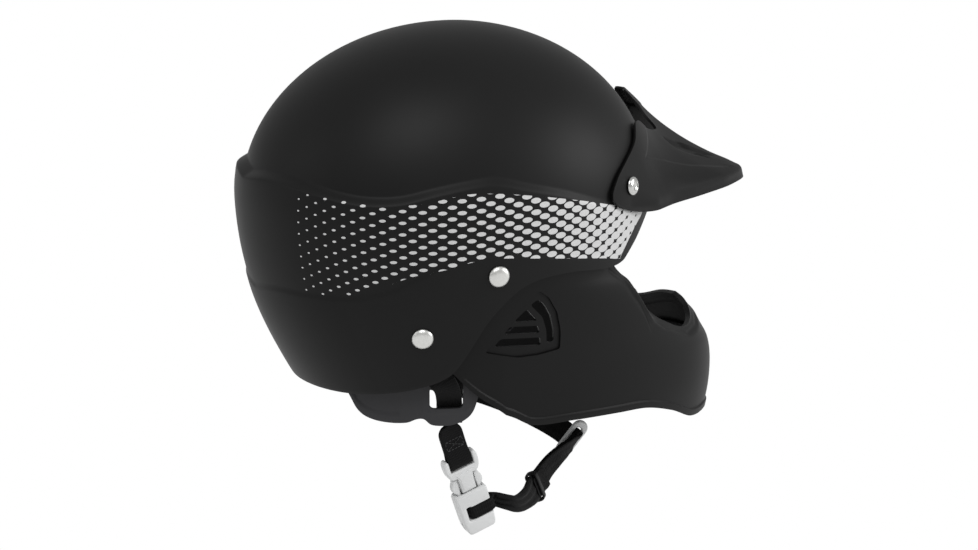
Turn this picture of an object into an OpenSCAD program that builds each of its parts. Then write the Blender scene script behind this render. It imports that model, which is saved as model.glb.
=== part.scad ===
// Full-face kayak helmet with visor, chin guard, liner and buckled chin strap.
// Millimetres, +Z up, front of the helmet towards -Y, wearer's right towards -X.
// The origin is the middle of the head, level with the widest part of the shell.

/* [Shell] */
// Length of the bare dome, front to back
shell_length = 268.5; // [250:0.5:290]
// Width of the bare dome
shell_width = 212; // [200:1:230]
// Height of the dome above its widest section
dome_height = 107.8; // [100:0.1:118]
// Wall of the moulded shell
shell_wall = 3.2; // [2.4:0.1:4]
// How far the raised band stands proud at the back
band_step = 5.6; // [2:0.1:7]
// Lower edge of the shell at the nape, below the origin
nape_drop = 114.5; // [106:0.5:120]

/* [Face guard] */
// Reach of the face guard in front of the origin
guard_reach = 187; // [178:1:195]
// How much narrower the jaw is than the shell, on each side
jaw_inset = 20; // [15:1:24]
// Wall of the moulded guard
guard_wall = 3.4; // [2.6:0.1:4]
// Bottom of the guard at the chin, below the origin
chin_drop = 163; // [155:1:172]
// Height of the bead along the guard's lower edge
guard_bead = 1.1; // [0.4:0.1:2]
// How far the rim of the face port rolls in
rim_roll = 3; // [1:0.1:4]
// Depth of the recess round the side grille
grille_recess = 1.2; // [0.5:0.1:1.8]

/* [Visor] */
// Reach of the visor's lip in front of the origin
visor_reach = 216.5; // [200:0.5:225]
// Wall of the visor
visor_wall = 2.4; // [1.8:0.1:3]
// Depth of the lip that turns down at the front
lip_depth = 7; // [4:0.5:10]
// Gap between the visor's ears and the shell
visor_gap = 0.8; // [0.6:0.1:1.2]

/* [Liner and pads] */
// Thickness of the foam liner
liner_thick = 15; // [11:0.5:17]
// Thickness of a comfort pad at its crown
pad_thick = 8; // [6:0.5:10]
// Thickness of a cheek pad at its crown
cheek_thick = 12; // [9:0.5:14]

/* [Fasteners] */
// Head of a shell rivet
rivet_head = 13.6; // [11:0.1:15]
// Shank of a shell rivet
rivet_shank = 5; // [4:0.1:5.6]
// Head of a visor screw
screw_head = 12; // [10:0.1:13]
// Shank of a visor screw
screw_shank = 5; // [4:0.1:5.6]

/* [Harness] */
// Width of the webbing
web_width = 16; // [14:0.5:18]
// Thickness of one layer of webbing
web_thick = 1.5; // [1.2:0.1:2]
// Width of the buckle's socket
buckle_width = 22; // [21:0.5:25]
// Thickness of the buckle's socket
buckle_thick = 9.6; // [9:0.2:12]
// Thickness of the nape cradle
cradle_wall = 3; // [2.4:0.1:3.6]

/* [Hidden] */

// Clearance between pieces that seat on each other
seat = 0.3;
// Clearance between large faceted faces that lie on each other
fit = 0.8;
// Clearance of a pad on the liner, and of a strap on the wall it follows
pad_fit = 1.6;
strap_play = 0.9;
// Clearance of a shank in its hole, on the diameter
hole_play = 0.5;
// How far a hole reaches below the shell's face, through all that a shank joins
hole_depth = 16;
$fn = 48;

// The dome is a little longer behind the origin than in front of it
front_half = shell_length/2 - 1.75;
rear_half = shell_length/2 + 1.75;
side_half = shell_width/2;
jaw_half_width = side_half - jaw_inset;
// Depths at which the three half sections would close below the origin
front_close = 260;
rear_close = 182;
side_close = 240;
// Fullness of every section between its axes
fullness = 0.012;

// Edges of the shell as [angle from the front, height]; the curves between are smooth
brow_z = 2;
ear_z = -37;
SHELL_EDGE = [
  [0, brow_z], [20, brow_z - 6], [36, -16], [46, -30.5], [51, -37.5], [58, -39.6], [75, ear_z],
  [88, ear_z - 5], [97, -60], [105, -86], [110, -97.6], [120, 9 - nape_drop], [134, 3.8 - nape_drop],
  [150, 1 - nape_drop], [180, -nape_drop]];
BAND_TOP = [
  [0, -8], [36, -10], [53, -4], [64, 4.5], [76, 13.5], [87, 20], [96, 25], [103, 24], [112, 20.5],
  [121, 16], [128, 15], [135, 16], [146, 20], [154, 23], [167, 24], [180, 21]];
BAND_BOTTOM = [
  [0, -38], [52, -36], [64, -31], [76, -26.6], [87, -23.4], [99, -22.3], [108, -23.8], [117, -31.9],
  [124, -40], [131, -44.2], [138, -46.3], [150, -46.5], [165, -46.8], [180, -51]];
LINER_EDGE = [
  [0, 9], [36, 2], [52, -10], [75, -12], [95, -12], [108, -24], [122, -50], [140, -70], [180, -78]];

// Guard edges as [angle from the front, height]
GUARD_TOP = [
  [0, -86], [12, -89], [24, -95], [34, -96], [43, -87], [49, -76], [51.2, -62], [52.3, -44], [56, -29],
  [66, ear_z + 11], [80, ear_z + 10], [89, ear_z + 8], [93, -22], [99, -22], [102, -40], [106, -72], [109, -86]];
GUARD_BOTTOM = [
  [0, -chin_drop], [20, 2 - chin_drop], [35, 3.4 - chin_drop], [46, -149], [55, -142], [63, -140.5],
  [75, -139.3], [84, -138], [88.5, -130.5], [94, -123], [100, -115], [105, -106], [109, -97]];
// Front reach and half width of the guard by height; above the tuck it follows the inside of the shell
tuck = shell_wall + fit;
GUARD_REACH = concat([
  [-175, guard_reach - 6], [-150, guard_reach - 1], [-135, guard_reach], [-122, guard_reach - 0.8],
  [-112, guard_reach - 3.5], [-103, guard_reach - 9], [-95, guard_reach - 13.5], [-86, guard_reach - 17.5],
  [-80, guard_reach - 20], [-65, guard_reach - 30], [-52, guard_reach - 44]],
  [for (z = [-43, -36, -15]) [z, front_half*closing(z, front_close) - tuck]]);
GUARD_WIDTH = concat([
  [-175, jaw_half_width - 10], [-150, jaw_half_width - 4], [-135, jaw_half_width], [-112, jaw_half_width + 4]],
  [for (z = [-86, -60, -36, -15]) [z, side_half*closing(z, side_close) - tuck]]);
guard_end = 109;

// Visor: ridge profile as [height, share of the reach], rear and lower edges as [angle, height]
visor_end = 59;
lip_z = -10;
// How far the lip falls back between its point and the sides of the shell
lip_sweep = 150;
// Its course between them, as [share of the half width, share of the fall]
LIP_FALL = [
  [0, 0], [0.03, 0.008], [0.094, 0.046], [0.189, 0.122], [0.272, 0.2], [0.44, 0.4], [0.56, 0.555],
  [0.637, 0.632], [0.715, 0.703], [0.85, 0.83], [1, 1]];
VISOR_RIDGE = [
  [lip_z, 1], [lip_z + lip_depth, 0.985], [2, 0.885], [9.6, 0.685], [19.3, 0.483], [30, 0.32], [40, 0.218],
  [50, 0.16], [58, 0.12], [66, 0.09]];
VISOR_TOP = [
  [0, 57], [5, 56.5], [9, 44], [13, 35.5], [17, 35.5], [21, 40], [26, 44], [34, 43], [41, 35], [49, 27],
  [55, 19], [58, 12], [visor_end, 8]];
VISOR_BOTTOM = [
  [0, lip_z], [40, lip_z], [45, -9], [51, -5], [56, -1], [58, 2], [visor_end, 4.5]];

// Nape cradle edges as [angle, height]
cradle_front = 99.5;
CRADLE_TOP = [[99.5, -101], [102, -96], [107, -93], [118, -92], [126, -90], [140, -84], [160, -76], [180, -74]];
CRADLE_BOTTOM = [
  [99.5, -114], [101.5, -124], [104.5, -129.5], [109, -132.5], [113, -133], [117, -132], [119.5, -128.5],
  [122, -128.5], [126, -131], [135, -131.2], [142, -128.8], [146, -124.5], [149, -117.5], [153, -109],
  [160, -101.5], [180, -98]];
cradle_reach = 101;
cradle_half_width = jaw_half_width + 4 - guard_wall - 2*seat - 0.6;

// Rivets and screws as [angle, height]
FRONT_RIVET = [95.5, -33.5];
REAR_RIVET = [117, -71.5];
VISOR_SCREW = [49.5, 9.5];
rivet_dome = 2.6;
washer_thick = 1.2;
washer_size = 12;

// Strap ring at each end of the cradle, and the chin strap's pivot just under it: [front, right, up]
ring_angle = 111.3;
ring_z = -114.8;
ring_slot = [21, 14.4];
ring_play = 0.7;
strap_angle = 110;
web_inside = cradle_wall + ring_play + web_thick + seat/2;
strap_at_ring = cradle_point(strap_angle, ring_z, -web_inside);
PIVOT = [
  -strap_at_ring[1] + 1, -strap_at_ring[0], edge_z(CRADLE_BOTTOM, strap_angle) - seat - web_width/2];
STRAP_DOWN = unit([0.33, -0.11, -0.94]);

// Chin webbing after the buckle, [front, right, up], with the direction across its width
WEB_ROUTE = [
  [9, 73, -190.5], [18, 66.5, -194.5], [30, 54, -198], [41, 40, -199.5], [53, 23.5, -199.5],
  [66, 12, -194], [77, 7, -188.5], [86, 4, -184], [90, 2, -182.3], [90, -7, -181.4], [86.5, -16, -178],
  [78, -27, -172.5], [58, -45, -162], [30, -63, -152.5], [0, -74.5, -145], [PIVOT[0] + 9, -PIVOT[1], PIVOT[2]],
  [PIVOT[0], -PIVOT[1], PIVOT[2]], [PIVOT[0] - 4.5, -PIVOT[1], PIVOT[2]], [PIVOT[0] - 7.5, -PIVOT[1], PIVOT[2]]];
WEB_ACROSS = [
  [-0.2, 0.1, 1], [-0.15, 0, 1], [-0.2, 0, 1], [-0.45, 0, 0.9], [-0.45, 0, 0.9], [-0.2, 0.1, 0.95],
  [0.1, 0.2, 0.9], [0.45, 0.2, 0.8], [0.63, 0.07, 0.77], [0.63, 0.07, 0.77], [0.55, 0, 0.8],
  [0.4, 0, 0.9], [0.25, 0, 1], [0.15, 0, 1], [0.1, 0, 1], [0, 0, 1], [0, 0, 1], [0, 0, 1], [0, 0, 1]];
keeper_at = 3;
slider_at = 8;

shell_black = [0.13, 0.13, 0.13];
rubber_grey = [0.2, 0.2, 0.2];
web_black = [0.07, 0.07, 0.07];
foam_grey = [0.32, 0.33, 0.34];
pad_black = [0.16, 0.16, 0.17];
buckle_white = [0.85, 0.86, 0.86];
steel = [0.78, 0.78, 0.76];

// Vectors and curves
function unit(v) = v/norm(v);
function clamp(x, low, high) = min(max(x, low), high);
function smooth(x) = let (u = clamp(x, 0, 1)) u*u*(3 - 2*u);
function mix(a, b, u) = a + (b - a)*u;
function flat(list) = [for (row = list) for (item = row) item];
function total(list, i = 0) = i == len(list) - 1 ? list[i] : list[i] + total(list, i + 1);
function middle(list) = total(list)/len(list);

// Smooth curve through control points [x, y], flat beyond its ends
function slope(p, i) =
  let (a = max(i - 1, 0), b = min(i + 1, len(p) - 1)) (p[b][1] - p[a][1])/(p[b][0] - p[a][0]);
function span_of(p, x, i = 0) = (i >= len(p) - 2 || x < p[i + 1][0]) ? i : span_of(p, x, i + 1);
function curve(p, x) =
  let (
    q = clamp(x, p[0][0], p[len(p) - 1][0]),
    i = span_of(p, q),
    h = p[i + 1][0] - p[i][0],
    u = (q - p[i][0])/h)
  (2*u^3 - 3*u^2 + 1)*p[i][1] + (u^3 - 2*u^2 + u)*h*slope(p, i)
  + (3*u^2 - 2*u^3)*p[i + 1][1] + (u^3 - u^2)*h*slope(p, i + 1);

// Angle round the head, from -180 to 180
function wrapped(a) = a > 180 ? a - 360 : a;

// Places given as front, right, up
function place(v) = [-v[1], -v[0], v[2]];

// Half section of the head form at a height: 1 at the origin, 0 where it closes
function closing(z, below) = z >= 0 ? sqrt(max(0, 1 - (z/dome_height)^2)) : sqrt(max(0, 1 - (z/below)^2));

// Point on a section with the given front, rear and side halves, moved out by a distance
function section_point(t, front, rear, side, z, out, full = fullness) =
  let (
    k = 1 + full*sin(2*t)^2,
    a = cos(t) >= 0 ? front : rear,
    n = unit([sin(t)/side, cos(t)/a]))
  [-(side*sin(t)*k + n[0]*out), -(a*cos(t)*k + n[1]*out), z];

// Height of the raised band and of the skirt's lip under it
function band_out(t, z) =
  let (
    s = abs(t),
    top = curve(BAND_TOP, s),
    bottom = curve(BAND_BOTTOM, s),
    rear = smooth((s - 60)/100),
    under_top = smooth((top - z)/6 + 0.5),
    over_bottom = smooth((z - bottom)/5 + 0.5),
    fill = 0.4 + 0.6*clamp((z - bottom)/(top - bottom), 0, 1)^0.8,
    ridge = (1.2 + (band_step - 1.2)*rear)*under_top*over_bottom*fill,
    lip = (1 + 2.2*rear)*(1 - over_bottom)*smooth(1 - (bottom - z)/60))
  ridge + lip*under_top;

// Outer face of the shell, and the plain head form inside it
function shell_point(t, z, out = 0) =
  section_point(t, front_half*closing(z, front_close), rear_half*closing(z, rear_close),
    side_half*closing(z, side_close), z, band_out(t, z) + out);
function head_point(t, z, inset) =
  let (r = dome_height/(dome_height - inset), q = z >= 0 ? z*r : z)
  section_point(t, front_half*closing(q, front_close) - inset, rear_half*closing(q, rear_close) - inset,
    side_half*closing(q, side_close) - inset, z, 0);

// Height of a lower edge, the same on both sides
function edge_z(edge, t) = curve(edge, abs(t));

// Grids of points: rows run down, columns run round
function grid_normal(g, i, j, wrap) =
  let (
    rows = len(g),
    cols = len(g[0]),
    a = g[max(i - 1, 0)][j],
    b = g[min(i + 1, rows - 1)][j],
    c = g[i][wrap ? (j + cols - 1)%cols : max(j - 1, 0)],
    d = g[i][wrap ? (j + 1)%cols : min(j + 1, cols - 1)])
  unit(cross(d - c, b - a));
function offset_grid(g, depth, wrap) =
  [for (i = [0:len(g) - 1]) [for (j = [0:len(g[0]) - 1]) g[i][j] + depth*grid_normal(g, i, j, wrap)]];

// Closed solid between two grids of the same size
module skin(outer, inner, wrap = false, cap = false) {
  rows = len(outer);
  cols = len(outer[0]);
  last = wrap ? cols - 1 : cols - 2;
  base = rows*cols;
  function o(i, j) = i*cols + j%cols;
  function n(i, j) = base + i*cols + j%cols;
  sheets = [for (i = [0:rows - 2]) for (j = [0:last]) for (f = [
    [o(i, j), o(i + 1, j + 1), o(i, j + 1)], [o(i, j), o(i + 1, j), o(i + 1, j + 1)],
    [n(i, j), n(i, j + 1), n(i + 1, j + 1)], [n(i, j), n(i + 1, j + 1), n(i + 1, j)]]) f];
  low = [for (j = [0:last]) for (f = [
    [o(rows - 1, j), n(rows - 1, j + 1), o(rows - 1, j + 1)],
    [o(rows - 1, j), n(rows - 1, j), n(rows - 1, j + 1)]]) f];
  high = cap
    ? [for (j = [0:last]) for (f = [[2*base, o(0, j), o(0, j + 1)], [2*base + 1, n(0, j + 1), n(0, j)]]) f]
    : [for (j = [0:last]) for (f = [
        [o(0, j), o(0, j + 1), n(0, j + 1)], [o(0, j), n(0, j + 1), n(0, j)]]) f];
  sides = wrap ? [] : [for (i = [0:rows - 2]) for (f = [
    [o(i, 0), n(i + 1, 0), o(i + 1, 0)], [o(i, 0), n(i, 0), n(i + 1, 0)],
    [o(i, cols - 1), o(i + 1, cols - 1), n(i + 1, cols - 1)],
    [o(i, cols - 1), n(i + 1, cols - 1), n(i, cols - 1)]]) f];
  poles = cap ? [middle(outer[0]), middle(inner[0])] : [];
  polyhedron(concat(flat(outer), flat(inner), poles), concat(sheets, low, high, sides), convexity = 10);
}

// Frame with +Z along the outward normal of a surface
module stand(centre, along_t, along_z) {
  n = unit(cross(along_z, along_t));
  x = unit(along_t);
  y = cross(n, x);
  multmatrix([
    [x[0], y[0], n[0], centre[0]],
    [x[1], y[1], n[1], centre[1]],
    [x[2], y[2], n[2], centre[2]]]) children();
}
function shell_round(t, z) = shell_point(t + 0.5, z) - shell_point(t - 0.5, z);
function shell_rise(t, z) = shell_point(t, z + 0.5) - shell_point(t, z - 0.5);
function inside_shell(t, z, depth) = shell_point(t, z) - depth*unit(cross(shell_rise(t, z), shell_round(t, z)));
module on_shell(spot, side = 1) {
  t = spot[0]*side;
  z = spot[1];
  stand(shell_point(t, z), shell_round(t, z), shell_rise(t, z)) children();
}
module both_sides() {
  children();
  mirror([1, 0, 0]) children();
}

// Angles of the columns, evenly spaced
function columns(first, last, count) = [for (i = [0:count]) mix(first, last, i/count)];

// Shell
shell_cols = 58;
dome_rows = 10;
function shell_heights(t) =
  let (
    edge = edge_z(SHELL_EDGE, t),
    top = edge_z(BAND_TOP, t),
    bottom = edge_z(BAND_BOTTOM, t),
    start = top + 5,
    dome = [for (i = [0:dome_rows]) dome_height*sin(mix(87.5, asin(start/dome_height), (i/dome_rows)^0.86))],
    step = [top + 2, top, top - 2, top - 5],
    face = [mix(top, bottom, 0.5)],
    lower = [bottom + 4, bottom + 1, bottom - 1, bottom - 4],
    skirt = [for (i = [1:4]) mix(bottom - 4, edge, i/4)],
    all = concat(dome, step, face, lower, skirt),
    count = len(all))
  [for (k = [0:count - 1]) k == count - 1 ? edge : max(all[k], edge + (count - 1 - k)*0.5)];
function shell_grid(out) =
  let (heights = [for (j = [0:shell_cols - 1]) shell_heights(column_angle(j))])
  [for (i = [0:len(heights[0]) - 1]) [for (j = [0:shell_cols - 1])
    shell_point(column_angle(j), heights[j][i], out)]];
function column_angle(j) = wrapped(j*360/shell_cols);

module outer_shell() {
  outer = shell_grid(0);
  inner = offset_grid(outer, -shell_wall, true);
  color(shell_black) difference() {
    skin(outer, inner, true, true);
    for (side = [-1, 1]) {
      on_shell(FRONT_RIVET, side) shank_hole(rivet_shank);
      on_shell(REAR_RIVET, side) shank_hole(rivet_shank);
      on_shell(VISOR_SCREW, side) shank_hole(screw_shank);
    }
  }
}
module shank_hole(shank) {
  translate([0, 0, -hole_depth]) cylinder(d = shank + hole_play, h = hole_depth + 8);
}

// Guard
guard_fullness = 0.02;
function guard_point(t, z, out = 0) =
  let (tucked = smooth((abs(t) - 30)/25))
  section_point(t, curve(GUARD_REACH, z), rear_half*closing(z, rear_close) - tuck,
    curve(GUARD_WIDTH, z), z, out + band_out(t, z)*tucked, mix(guard_fullness, fullness, tucked));
function bead(distance) = guard_bead*(1 - smooth((distance - 4)/1.5));
function guard_shares() = [0, 0.035, 0.07, 0.12, 0.22, 0.34, 0.46, 0.58, 0.7, 0.81, 0.89, 0.93, 0.965, 1];
// The bead along the bottom ends where the guard goes under the shell, the rolled rim where the port does
function guard_row(t, share) =
  let (
    top = edge_z(GUARD_TOP, t),
    bottom = edge_z(GUARD_BOTTOM, t),
    z = mix(top, bottom, share),
    port = 1 - smooth((abs(t) - 49)/4),
    free = 1 - smooth((abs(t) - 104)/4))
  guard_point(t, z, free*bead(z - bottom) - port*rim_roll*(1 - smooth((top - z)/8)));
guard_cols = 54;
module face_guard() {
  angles = columns(-guard_end, guard_end, guard_cols);
  outer = [for (s = guard_shares()) [for (t = angles) guard_row(t, s)]];
  inner = offset_grid(outer, -guard_wall, false);
  color(shell_black) difference() {
    skin(outer, inner);
    for (side = [-1, 1]) on_shell(FRONT_RIVET, side) shank_hole(rivet_shank);
    both_sides() {
      side_slots();
      grille_pocket();
    }
  }
}
// Slots of the side grille as [front, up], cut from the side
GRILLE_TALL = [[17, -53], [22, -57], [27, -65], [30, -75], [30.5, -82], [25.5, -83], [24.5, -74], [21, -65], [12, -56]];
GRILLE_TOP = [[9.5, -58.5], [17.5, -67], [1, -66]];
GRILLE_MIDDLE = [[-1.5, -69], [18.5, -70.5], [20, -75.5], [-5, -73.6]];
GRILLE_LOW = [[-7, -76.5], [20.8, -78.6], [21.3, -84], [-11, -81.2]];
GRILLE_FRAME = [
  [17, -47], [24, -52], [31, -63], [34.5, -76], [35, -88], [20, -90], [5, -90], [-17, -84.5], [-9, -74], [2, -60]];
module side_cut(outline) {
  rotate([90, 0, -90]) linear_extrude(2*side_half) polygon(outline);
}
module side_slots() {
  for (slot = [GRILLE_TALL, GRILLE_TOP, GRILLE_MIDDLE, GRILLE_LOW]) side_cut(slot);
}
// Shallow pocket round the slots, parallel to the face of the guard
module grille_pocket() {
  heights = [-42, -50, -58, -66, -74, -82, -90, -98];
  angles = [for (t = [62:4:106]) t];
  intersection() {
    side_cut(GRILLE_FRAME);
    skin([for (z = heights) [for (t = angles) guard_point(t, z, 4)]],
      [for (z = heights) [for (t = angles) guard_point(t, z, -grille_recess)]]);
  }
}

// Liner
module impact_liner() {
  cols = 44;
  rows = 11;
  inset = tuck;
  function angle(j) = wrapped(j*360/cols);
  function height(i, t) =
    let (low = edge_z(LINER_EDGE, t), h = dome_height - inset)
    i < 8 ? h*sin(mix(87, asin((low + 14)/h), i/7)) : mix(low + 14, low, (i - 7)/(rows - 7));
  outer = [for (i = [0:rows]) [for (j = [0:cols - 1]) head_point(angle(j), height(i, angle(j)), inset)]];
  inner = offset_grid(outer, -liner_thick, true);
  color(foam_grey) difference() {
    skin(outer, inner, true, true);
    for (side = [-1, 1]) on_shell(VISOR_SCREW, side) translate([0, 0, -hole_depth])
      cylinder(d = washer_size + 4, h = hole_depth + 2);
  }
}

// Comfort pads: a soft patch seated on a surface, with a crown and drawn-in sides
function pad_grid(points, thick, rows, cols) =
  [for (i = [0:rows]) [for (j = [0:cols])
    let (
      u = 2*i/rows - 1,
      v = 2*j/cols - 1,
      swell = 0.35 + 0.65*(1 - u^4)*(1 - v^4),
      channel = 1 - 0.3*exp(-(v/0.12)^2))
    points[i][j] + thick*swell*channel*grid_normal(points, i, j, false)]];
module pad(points, thick) {
  rows = len(points) - 1;
  cols = len(points[0]) - 1;
  color(pad_black) skin(points, pad_grid(points, -thick, rows, cols));
}
// Patch between two angles and two heights, with rounded corners, as [angle, height]
function patch(t0, t1, low, high, rows = 8, cols = 12) =
  [for (i = [0:rows]) [for (j = [0:cols])
    let (u = 2*i/rows - 1, v = 2*j/cols - 1)
    [mix(t0, t1, 0.5 + 0.5*v*(1 - 0.1*u^4)), mix(high, low, 0.5 + 0.5*u*(1 - 0.14*v^4))]]];
function on_liner(spots) =
  offset_grid([for (row = spots) [for (p = row) head_point(p[0], p[1], tuck)]], -liner_thick - pad_fit, false);
function on_guard(spots) = [for (row = spots) [for (p = row) guard_point(p[0], p[1], -guard_wall - 2*seat)]];
module crown_pad() {
  rings = 6;
  sides = 28;
  h = dome_height - tuck;
  form = [for (i = [0:rings]) [for (j = [0:sides - 1])
    let (a = j*360/sides, lobe = 1 - 0.05*i/rings*cos(4*a))
    head_point(wrapped(a), h*sin(90 - lobe*mix(8, 30, i/rings)), tuck)]];
  outer = offset_grid(form, -liner_thick - pad_fit, true);
  inner = [for (i = [0:rings]) [for (j = [0:sides - 1])
    outer[i][j] - pad_thick*(0.35 + 0.65*(1 - (i/rings)^4))*(1 - 0.25*exp(-((i/rings - 0.55)/0.09)^2))
      *grid_normal(outer, i, j, true)]];
  color(pad_black) skin(outer, inner, true, true);
}
module brow_pad() {
  pad(on_liner(patch(-44, 44, 14, 42, 6, 20)), pad_thick);
}
module side_pad() {
  pad(on_liner(patch(60, 112, -8, 40)), pad_thick);
}
module side_pad_right() {
  side_pad();
}
module side_pad_left() {
  mirror([1, 0, 0]) side_pad();
}
module nape_pad() {
  pad(on_liner(patch(145, 215, -62, -14)), pad_thick);
}
module cheek_pad() {
  pad(on_guard(patch(64, 92, -124, -92)), cheek_thick);
}
module cheek_pad_right() {
  cheek_pad();
}
module cheek_pad_left() {
  mirror([1, 0, 0]) cheek_pad();
}
module chin_pad() {
  pad(on_guard(patch(-26, 26, 15 - chin_drop, 50 - chin_drop, 6, 14)), pad_thick);
}

// Rivets: domed head on the shell, shank through the stack, flattened tail behind the washer
rivet_lift = 0.2;
rivet_tail = 1.4;
rear_stack = tuck + strap_play + web_thick + seat + washer_thick + seat;
front_stack = rear_stack + guard_wall;
module rivet(head, shank, rise, grip, tail = 0) {
  rotate_extrude() polygon(concat(
    [[0, -grip - tail], [shank/2 + tail, -grip - tail], [shank/2 + tail, -grip], [shank/2, -grip], [shank/2, 0],
      [head/2, 0], [head/2, 0.6]],
    [for (a = [12:12:90]) [head/2*cos(a), 0.6 + rise*sin(a)]]));
}
module rivet_pair(spot, stack) {
  color(steel) for (side = [-1, 1]) on_shell(spot, side) translate([0, 0, rivet_lift])
    rivet(rivet_head, rivet_shank, rivet_dome, stack + rivet_lift, rivet_tail);
}
module front_rivets() {
  rivet_pair(FRONT_RIVET, front_stack);
}
module rear_rivets() {
  rivet_pair(REAR_RIVET, rear_stack);
}
module washer(outer, inner, thick) {
  difference() {
    cylinder(d = outer, h = thick);
    translate([0, 0, -1]) cylinder(d = inner, h = thick + 2);
  }
}
module rivet_washers() {
  color(steel) for (side = [-1, 1]) {
    on_shell(FRONT_RIVET, side) translate([0, 0, -front_stack + seat/2])
      washer(washer_size, rivet_shank + hole_play, washer_thick);
    on_shell(REAR_RIVET, side) translate([0, 0, -rear_stack + seat/2])
      washer(washer_size, rivet_shank + hole_play, washer_thick);
  }
}

// Visor: a thin sheet that stands off the shell and runs out to a lip
function lip_front(side_reach) = visor_reach - lip_sweep*curve(LIP_FALL, abs(side_reach)/side_half);
function visor_point(t, z) =
  let (
    foot = shell_point(t, z, visor_gap + visor_wall),
    at_lip = shell_point(t, lip_z, visor_gap + visor_wall),
    reach = max(0, lip_front(at_lip[0]) + at_lip[1])*smooth((51 - abs(t))/11),
    share = curve(VISOR_RIDGE, z)^(1 + abs(t)/26))
  foot + [0, -reach*share, 0];
visor_rows = 12;
visor_cols = 38;
// Room round the screws for the tilt, on the diameter
visor_play = 2;
function visor_height(t, i) =
  let (
    top = edge_z(VISOR_TOP, t),
    bottom = edge_z(VISOR_BOTTOM, t),
    knee = max(lip_z + lip_depth, mix(bottom, top, 0.25)))
  i <= 2 ? mix(bottom, knee, i/2) : mix(knee, top, (i - 2)/(visor_rows - 2));
module visor() {
  angles = columns(-visor_end, visor_end, visor_cols);
  outer = [for (i = [visor_rows:-1:0]) [for (t = angles) visor_point(t, visor_height(t, i))]];
  inner = offset_grid(outer, -visor_wall, false);
  color(shell_black) difference() {
    skin(outer, inner);
    for (side = [-1, 1]) on_shell(VISOR_SCREW, side) translate([0, 0, -2])
      cylinder(d = screw_shank + visor_play, h = 20);
  }
}
screw_seat = visor_gap + visor_wall + 2*seat;
nut_height = 3.4;
module visor_screws() {
  color(steel) for (side = [-1, 1]) on_shell(VISOR_SCREW, side) translate([0, 0, screw_seat]) difference() {
    rivet(screw_head, screw_shank, 1.6, screw_seat + tuck + nut_height + 1);
    translate([0, 0, 1.7]) cylinder(d = screw_head/2, h = 3);
  }
}
module visor_washers() {
  color(rubber_grey) for (side = [-1, 1]) on_shell(VISOR_SCREW, side)
    translate([0, 0, seat/2]) washer(screw_shank + 3, screw_shank + hole_play, visor_gap - 1.5*seat);
}
// Flanged nut behind the shell
module visor_nuts() {
  color(steel) for (side = [-1, 1]) on_shell(VISOR_SCREW, side)
    translate([0, 0, -tuck - seat]) difference() {
      union() {
        translate([0, 0, -1]) cylinder(d = washer_size, h = 1);
        translate([0, 0, -nut_height]) cylinder(d = 8, h = nut_height, $fn = 6);
      }
      translate([0, 0, -nut_height - 1]) cylinder(d = screw_shank + hole_play, h = nut_height + 2);
    }
}

// Flat ribbon along a route, its width along the given directions
function ribbon_ring(route, across, i, width, thick) =
  let (
    a = route[max(i - 1, 0)],
    b = route[min(i + 1, len(route) - 1)],
    t = unit(b - a),
    w = unit(across[i] - (across[i]*t)*t),
    n = cross(t, w),
    c = route[i])
  [for (q = [[-1, 1], [1, 1], [1, -1], [-1, -1]]) c + w*q[0]*width/2 + n*q[1]*thick/2];
module ribbon(route, across, width, thick) {
  count = len(route);
  rings = [for (i = [0:count - 1]) ribbon_ring(route, across, i, is_list(width) ? width[i] : width, thick)];
  faces = [for (i = [0:count - 2]) for (k = [0:3]) for (f = [
    [i*4 + k, i*4 + (k + 1)%4, (i + 1)*4 + (k + 1)%4], [i*4 + k, (i + 1)*4 + (k + 1)%4, (i + 1)*4 + k]]) f];
  ends = [[3, 2, 1, 0], [for (k = [0:3]) (count - 1)*4 + k]];
  polyhedron(flat(rings), concat(faces, ends), convexity = 10);
}

// Inner straps: from each rivet down to the cradle's ring, over its top bar, in through the opening
// and behind its bottom bar; the rear strap lies over the front one outside and next to the ring inside
strap_lay = unit(cradle_point(strap_angle - 1, ring_z) - cradle_point(strap_angle + 1, ring_z));
function outside_ring(angle, z, layer) =
  cradle_point(angle, z, 2*seat + web_thick/2 + layer*layer_step);
function inside_ring(angle, z, layer) =
  cradle_point(angle, z, -cradle_wall - ring_play - web_thick/2 - layer*layer_step);
ring_top = ring_z + ring_slot[1]/2;
layer_step = web_thick + 2*seat;
function lie(spot, tilt) = -unit(shell_round(spot[0], spot[1])) + [0, 0, tilt];
module inner_strap(route, across, spot) {
  color(web_black) difference() {
    ribbon(route, across, web_width, web_thick);
    on_shell(spot) shank_hole(rivet_shank);
  }
}
module front_strap() {
  depth = tuck + guard_wall + strap_play + web_thick/2;
  spots = [[94.5, -24], [95.5, -33.5], [98, -50], [102, -68], [105.5, -84]];
  route = concat(
    [for (p = spots) inside_shell(p[0], p[1], depth)],
    [outside_ring(strap_angle - 1, -94, 0), outside_ring(strap_angle, ring_top + 0.6, 0.3),
      inside_ring(strap_angle, ring_z - ring_slot[1]/2 + 3.5, 1), inside_ring(strap_angle, PIVOT[2] + web_width/2 + 0.6, 1)]);
  tilts = [0, 0.1, 0.25, 0.3, 0.25];
  across = concat([for (i = [0:len(spots) - 1]) lie(spots[i], tilts[i])], [for (i = [0:3]) strap_lay]);
  inner_strap(route, across, FRONT_RIVET);
}
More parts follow.
